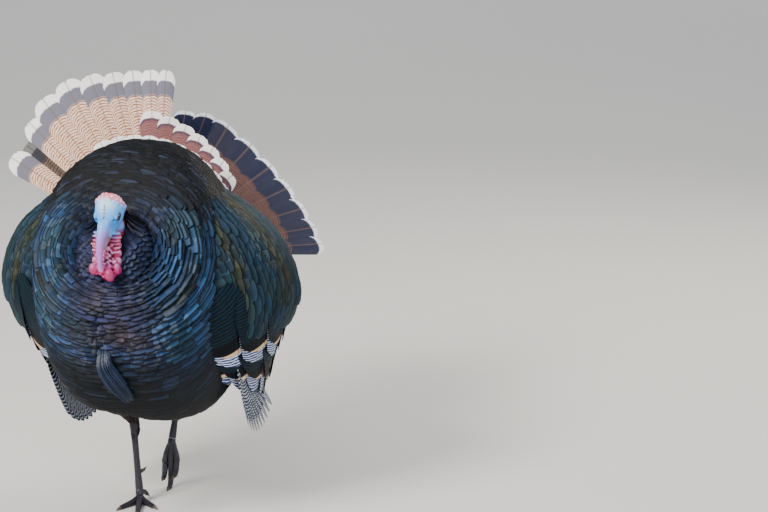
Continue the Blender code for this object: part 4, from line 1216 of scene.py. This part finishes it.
def make_quills():
    """Barred secondaries down the trailing edge and barred quills along the lower edge, each under a row of
    coverts that end in a pale crescent."""
    # Painted shade: the barred wing quills' blue ground and blue-white bars are dark, white-barred quills as
    # they look in blue skylight shade.
    quill = barred_finish(
        "barred wing quills", 0.0, 0.0, ("#c9cbd2", "#20242c", "#152a66", "#dfe9fa", "#3b3d44"),
        0.0080, 0.0016, 0.20, 0.001, "#1a2236")
    grey = barred_finish(
        "grey-barred secondaries", 0.003, 0.0, ("#d8d4cc", "#20242c", "#4b4a4d", "#c9c4bd", "#4b4a4d"),
        0.0105, 0.0026, 0.0, 0.002, "#3a3634")
    tan = barred_finish(
        "tan-edged wing coverts", 0.0095, 0.026, ("#dcb68c", "#060a10", "#081018", "#0d2632", "#2a2622"),
        0.007, 0.002, 0.1, 0.001, "#141a24", 0.08)
    pale = barred_finish(
        "white-edged greater coverts", 0.0060, 0.016, ("#d9cdbd", "#14161b", "#3a3632", "#5c5146", "#3a3430"),
        0.005, 0.002, 0.2, 0.002, "#2a2622")
    # Each row: how many, the first root and its run over the row, the first tip and its run, then the width,
    # the height off the wing, how far one edge is raised, the finish and the roundness of the tip.
    run, fall = (0.72, 0.02), (0.74, 0.02)
    for name, many, start, start_run, end, end_run, wide, lift, tilt, finish, round_off in (
        ("secondaries", 13, (0.46, 0.02), (0, 0.92), (1.05, 0.05), (0, 0.98),
         0.066, -0.0055, 0.0030, grey, 0.10),
        ("greater_coverts", 13, (0.40, 0.02), (0, 0.84), (0.76, 0.04), (0, 0.90),
         0.066, -0.0020, 0.0030, pale, 0.12),
        ("lower_quills", 5, (-0.02, 0.66), run, (0.17, 1.07), fall, 0.094, -0.0050, 0.0045, quill, 0.26),
        ("lower_coverts", 5, (-0.06, 0.60), run, (0.14, 0.98), fall, 0.094, -0.0015, 0.0060, tan, 0.30),
        ("middle_quills", 5, (-0.07, 0.44), run, (0.07, 0.83), fall, 0.094, 0.0005, 0.0045, quill, 0.26),
        ("middle_coverts", 5, (-0.10, 0.40), run, (0.04, 0.75), fall, 0.094, 0.0030, 0.0060, tan, 0.30),
    ):
        steps = np.linspace(0, 1, many)[:, None]
        first = np.array(start) + steps * np.array(start_run)
        last = np.array(end) + steps * np.array(end_run) + 0.012 * chance.normal(size=(many, 1)) * (0, 1)
        vanes = wing_vanes(first, last, wide, lift, tilt, round_off)
        shade = np.ones((many, 4)) * uneven(many, 0.78, 0.32)
        long_plates(name, vanes, shade, finish, "wing_feathers", ("wing",), 0.0006, both_sides)


def make_primaries():
    """Ten long stiff quills a side, lowered and half spread from the wrist, dark with white bars."""
    count, columns = 10, 11
    turn = ((np.arange(count) + 0.5) / count)[:, None, None]
    length = 0.165 + 0.175 * turn**0.75
    t, u = np.linspace(0, 1, 30)[:, None], np.linspace(-1, 1, columns)
    tip = (1 - 0.10 * np.abs(u + 0.2) ** 2.2 + 0.002 * chance.normal(size=(count, columns)))[:, None, :]
    radius = 0.020 + (length * tip - 0.020) * t
    half = 0.0150 * widening(t, 0.55, 0.45) * (1 - 0.45 * np.clip(t - 0.7, 0, 1) ** 1.2 / 0.3)
    swing = np.radians(24 + 36 * turn) + half * u / np.maximum(radius, 0.05)
    x = WRIST[0] - 0.020 * radius / 0.3 - 0.0025 * u * t + 0.0014 * turn * count * 0.25
    top = np.stack([x, WRIST[1] + radius * np.sin(swing), WRIST[2] - radius * np.cos(swing)], -1)
    from_tip = length * (1 - t) + 0 * u
    shade = np.ones((count, 4)) * uneven(count, 0.88, 0.2)
    quill = barred_finish(
        "barred primaries", 0.0, 0.004, ("#d8d8de", "#2a2c33", "#161f38", "#cfdaee", "#34363d"),
        0.0110, 0.0018, 0.45, 0.002, "#2c2f3a")
    long_plates("primary_quills", (top, from_tip, half * u + 0 * from_tip), shade, quill, "wing_feathers",
                ("primaries",), 0.0007, both_sides)


make_wing_coverts()
make_quills()
make_primaries()


# ---------------------------------------------------------------- thighs
# The drumsticks are clothed in short soft feathers that point down the leg and grow smaller on the way. They
# end just above the left hock, and a little past the right one, where the scaled leg begins.
def make_thigh_feathers():
    """Rows of small feathers round each drumstick, from near the knee to the share `last` of its path."""
    stations = (0.064, 0.058, 0.044, 0.024, 0.0125, 0.0095, 0.0070)  # radii from the flank down
    for side, ankle, last in (("right", (-0.012, -0.030, 0.016), 0.86), ("left", (0.021, 0.086, 0.092), 0.6)):
        knee, hock = (np.array(end) for end in LEGS[side])
        path = (knee, (knee + hock) / 2 + (0, 0.004, 0), hock, hock + 0.18 * (ankle - hock))
        axis = unit(hock - knee)
        across = unit(np.cross(axis, (1.0, 0.0, 0.0)))

        def drumstick(share, turn):
            """The thigh's outline: rounds that narrow from the flank to just past the hock."""
            ring = np.cos(turn)[:, None] * across * 1.1 + np.sin(turn)[:, None] * np.cross(axis, across)
            return curve(path, share) + curve(stations, share) * ring

        shares = np.linspace(0.05, last, 24)
        around = np.maximum(9, (2 * math.pi * curve(stations, shares)[:, 0] / 0.0105).astype(int))
        share, turn = ring_spots(shares, around)
        root = drumstick(share, turn)
        lie = unit(drumstick(share + 1e-3, turn) - drumstick(share - 1e-3, turn))
        up = root - curve(path, share)
        up = unit(up - lie * np.sum(up * lie, axis=1, keepdims=True))
        small, count = 1 - 0.5 * share, len(root)
        root = root - up * (0.006 * small)[:, None]
        vanes = lay(root, lie, up, 0.036 * small, 0.020 * small, 0.20, follow=0.2)
        tint = plain("#33272b", count) * uneven(count, 0.7, 0.6)
        hues = ("#e0e0ff", "#f0e8e0", "#ffd8b0")
        soft = coat_finish("soft thigh feathers", "#0b0a0a", hues, 0.6, 0.0014, 0.0, 0.15)
        bake = bake_place(turn / (2 * math.pi), share)
        plates(f"thigh_feathers_{side}", vanes, tint, bake, soft, "coat", tipped=False)


make_thigh_feathers()


# ---------------------------------------------------------------- beard
# The beard is a tuft of coarse black bristles. It grows from the middle of the breast and lies against the
# belly, and its end swings a little to the bird's left.
BEARD_ROOT = np.array((-0.018, -0.262, 0.376))
BRISTLES = 260


def make_beard():
    """Bristles: three-sided threads that fan out along one bent path."""
    bends = ((0, 0.004, 0.006), (0.005, -0.016, -0.026), (0.020, -0.012, -0.062), (0.038, 0.014, -0.100))
    path = BEARD_ROOT + bends
    rows = 9
    t = np.linspace(0, 1, rows)
    spread = curve((0.010, 0.017, 0.020, 0.012), t)[:, 0]
    turn, off = chance.random(BRISTLES) * 2 * math.pi, np.sqrt(chance.random(BRISTLES))
    across, deep = (off * np.cos(turn))[:, None] * spread, (off * np.sin(turn))[:, None] * spread
    reach = (0.62 + 0.38 * chance.random(BRISTLES) ** 0.6)[:, None, None]
    line = curve(path, t) + across[..., None] * np.array((0.93, 0.05, 0.36))
    line = line + deep[..., None] * 0.45 * np.array((0, -1.0, 0.2))
    line = line[:, :1] + (line - line[:, :1]) * reach
    line = line + 0.0011 * np.sin(t * 9 + turn[:, None])[..., None] * np.array((1, 0, 0.3))
    corner = np.array([(math.cos(a), math.sin(a), 0) for a in (0.3, 2.4, 4.5)])
    points = line[:, :, None] + (0.0011 * (1 - 0.45 * t))[:, None, None] * corner
    last = rows * 3 - 1
    sides = net_faces(rows, 3, loop_columns=True)[:, (0, 3, 2, 1)]  # wound to face outwards
    pattern = sides, np.array(((0, 1, 2), (last, last - 1, last - 2)))
    shift = (np.arange(BRISTLES) * rows * 3)[:, None, None]
    faces = [face for block in pattern for face in (block + shift).reshape(-1, block.shape[1]).tolist()]
    mesh = join_shapes("beard", [(stand(points.reshape(-1, 3)), faces)])
    made = new_finish("coarse bristle", 0.42)
    # The slate blue that the noise mixes into the black bristles is a painted blue highlight.
    painted(made, mixed(made, on_object(made, "TexNoise", 260.0), "#090d16", "#2e4262"))
    show("beard_bristles", mesh, made, ("beard",))


make_beard()


# ---------------------------------------------------------------- legs and feet
# Bare legs in slate-brown scales, with horn claws and spurs. These pieces keep the part's own shapes, and
# only their finishes are set here.
def scale_finish():
    """Leg scales: hard, dull, slate-brown plates with darker joints."""
    made = new_finish("leg scales", 0.46)
    cells = on_object(made, "TexVoronoi", 330.0, "Distance")
    tone = mixed(made, on_object(made, "TexNoise", 60.0, Detail=4.0), "#14121c", "#2f2c3a")
    shade = mixed(made, mapped(made, cells, 0.35, 0.75), tone, "#17131a")
    return painted(made, shade, cells, 0.5, 0.0008, True)


LEG_FINISHES = {
    ("shank", "foot"): scale_finish(),
    ("claw", "spur"): horn_finish("dark claw horn", "#241c18", "#6d5c4e"),
}
for node_name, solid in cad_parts.items():
    for kinds, finish in LEG_FINISHES.items():
        if node_name.startswith(kinds):
            solid.data.materials.clear()
            solid.data.materials.append(finish)
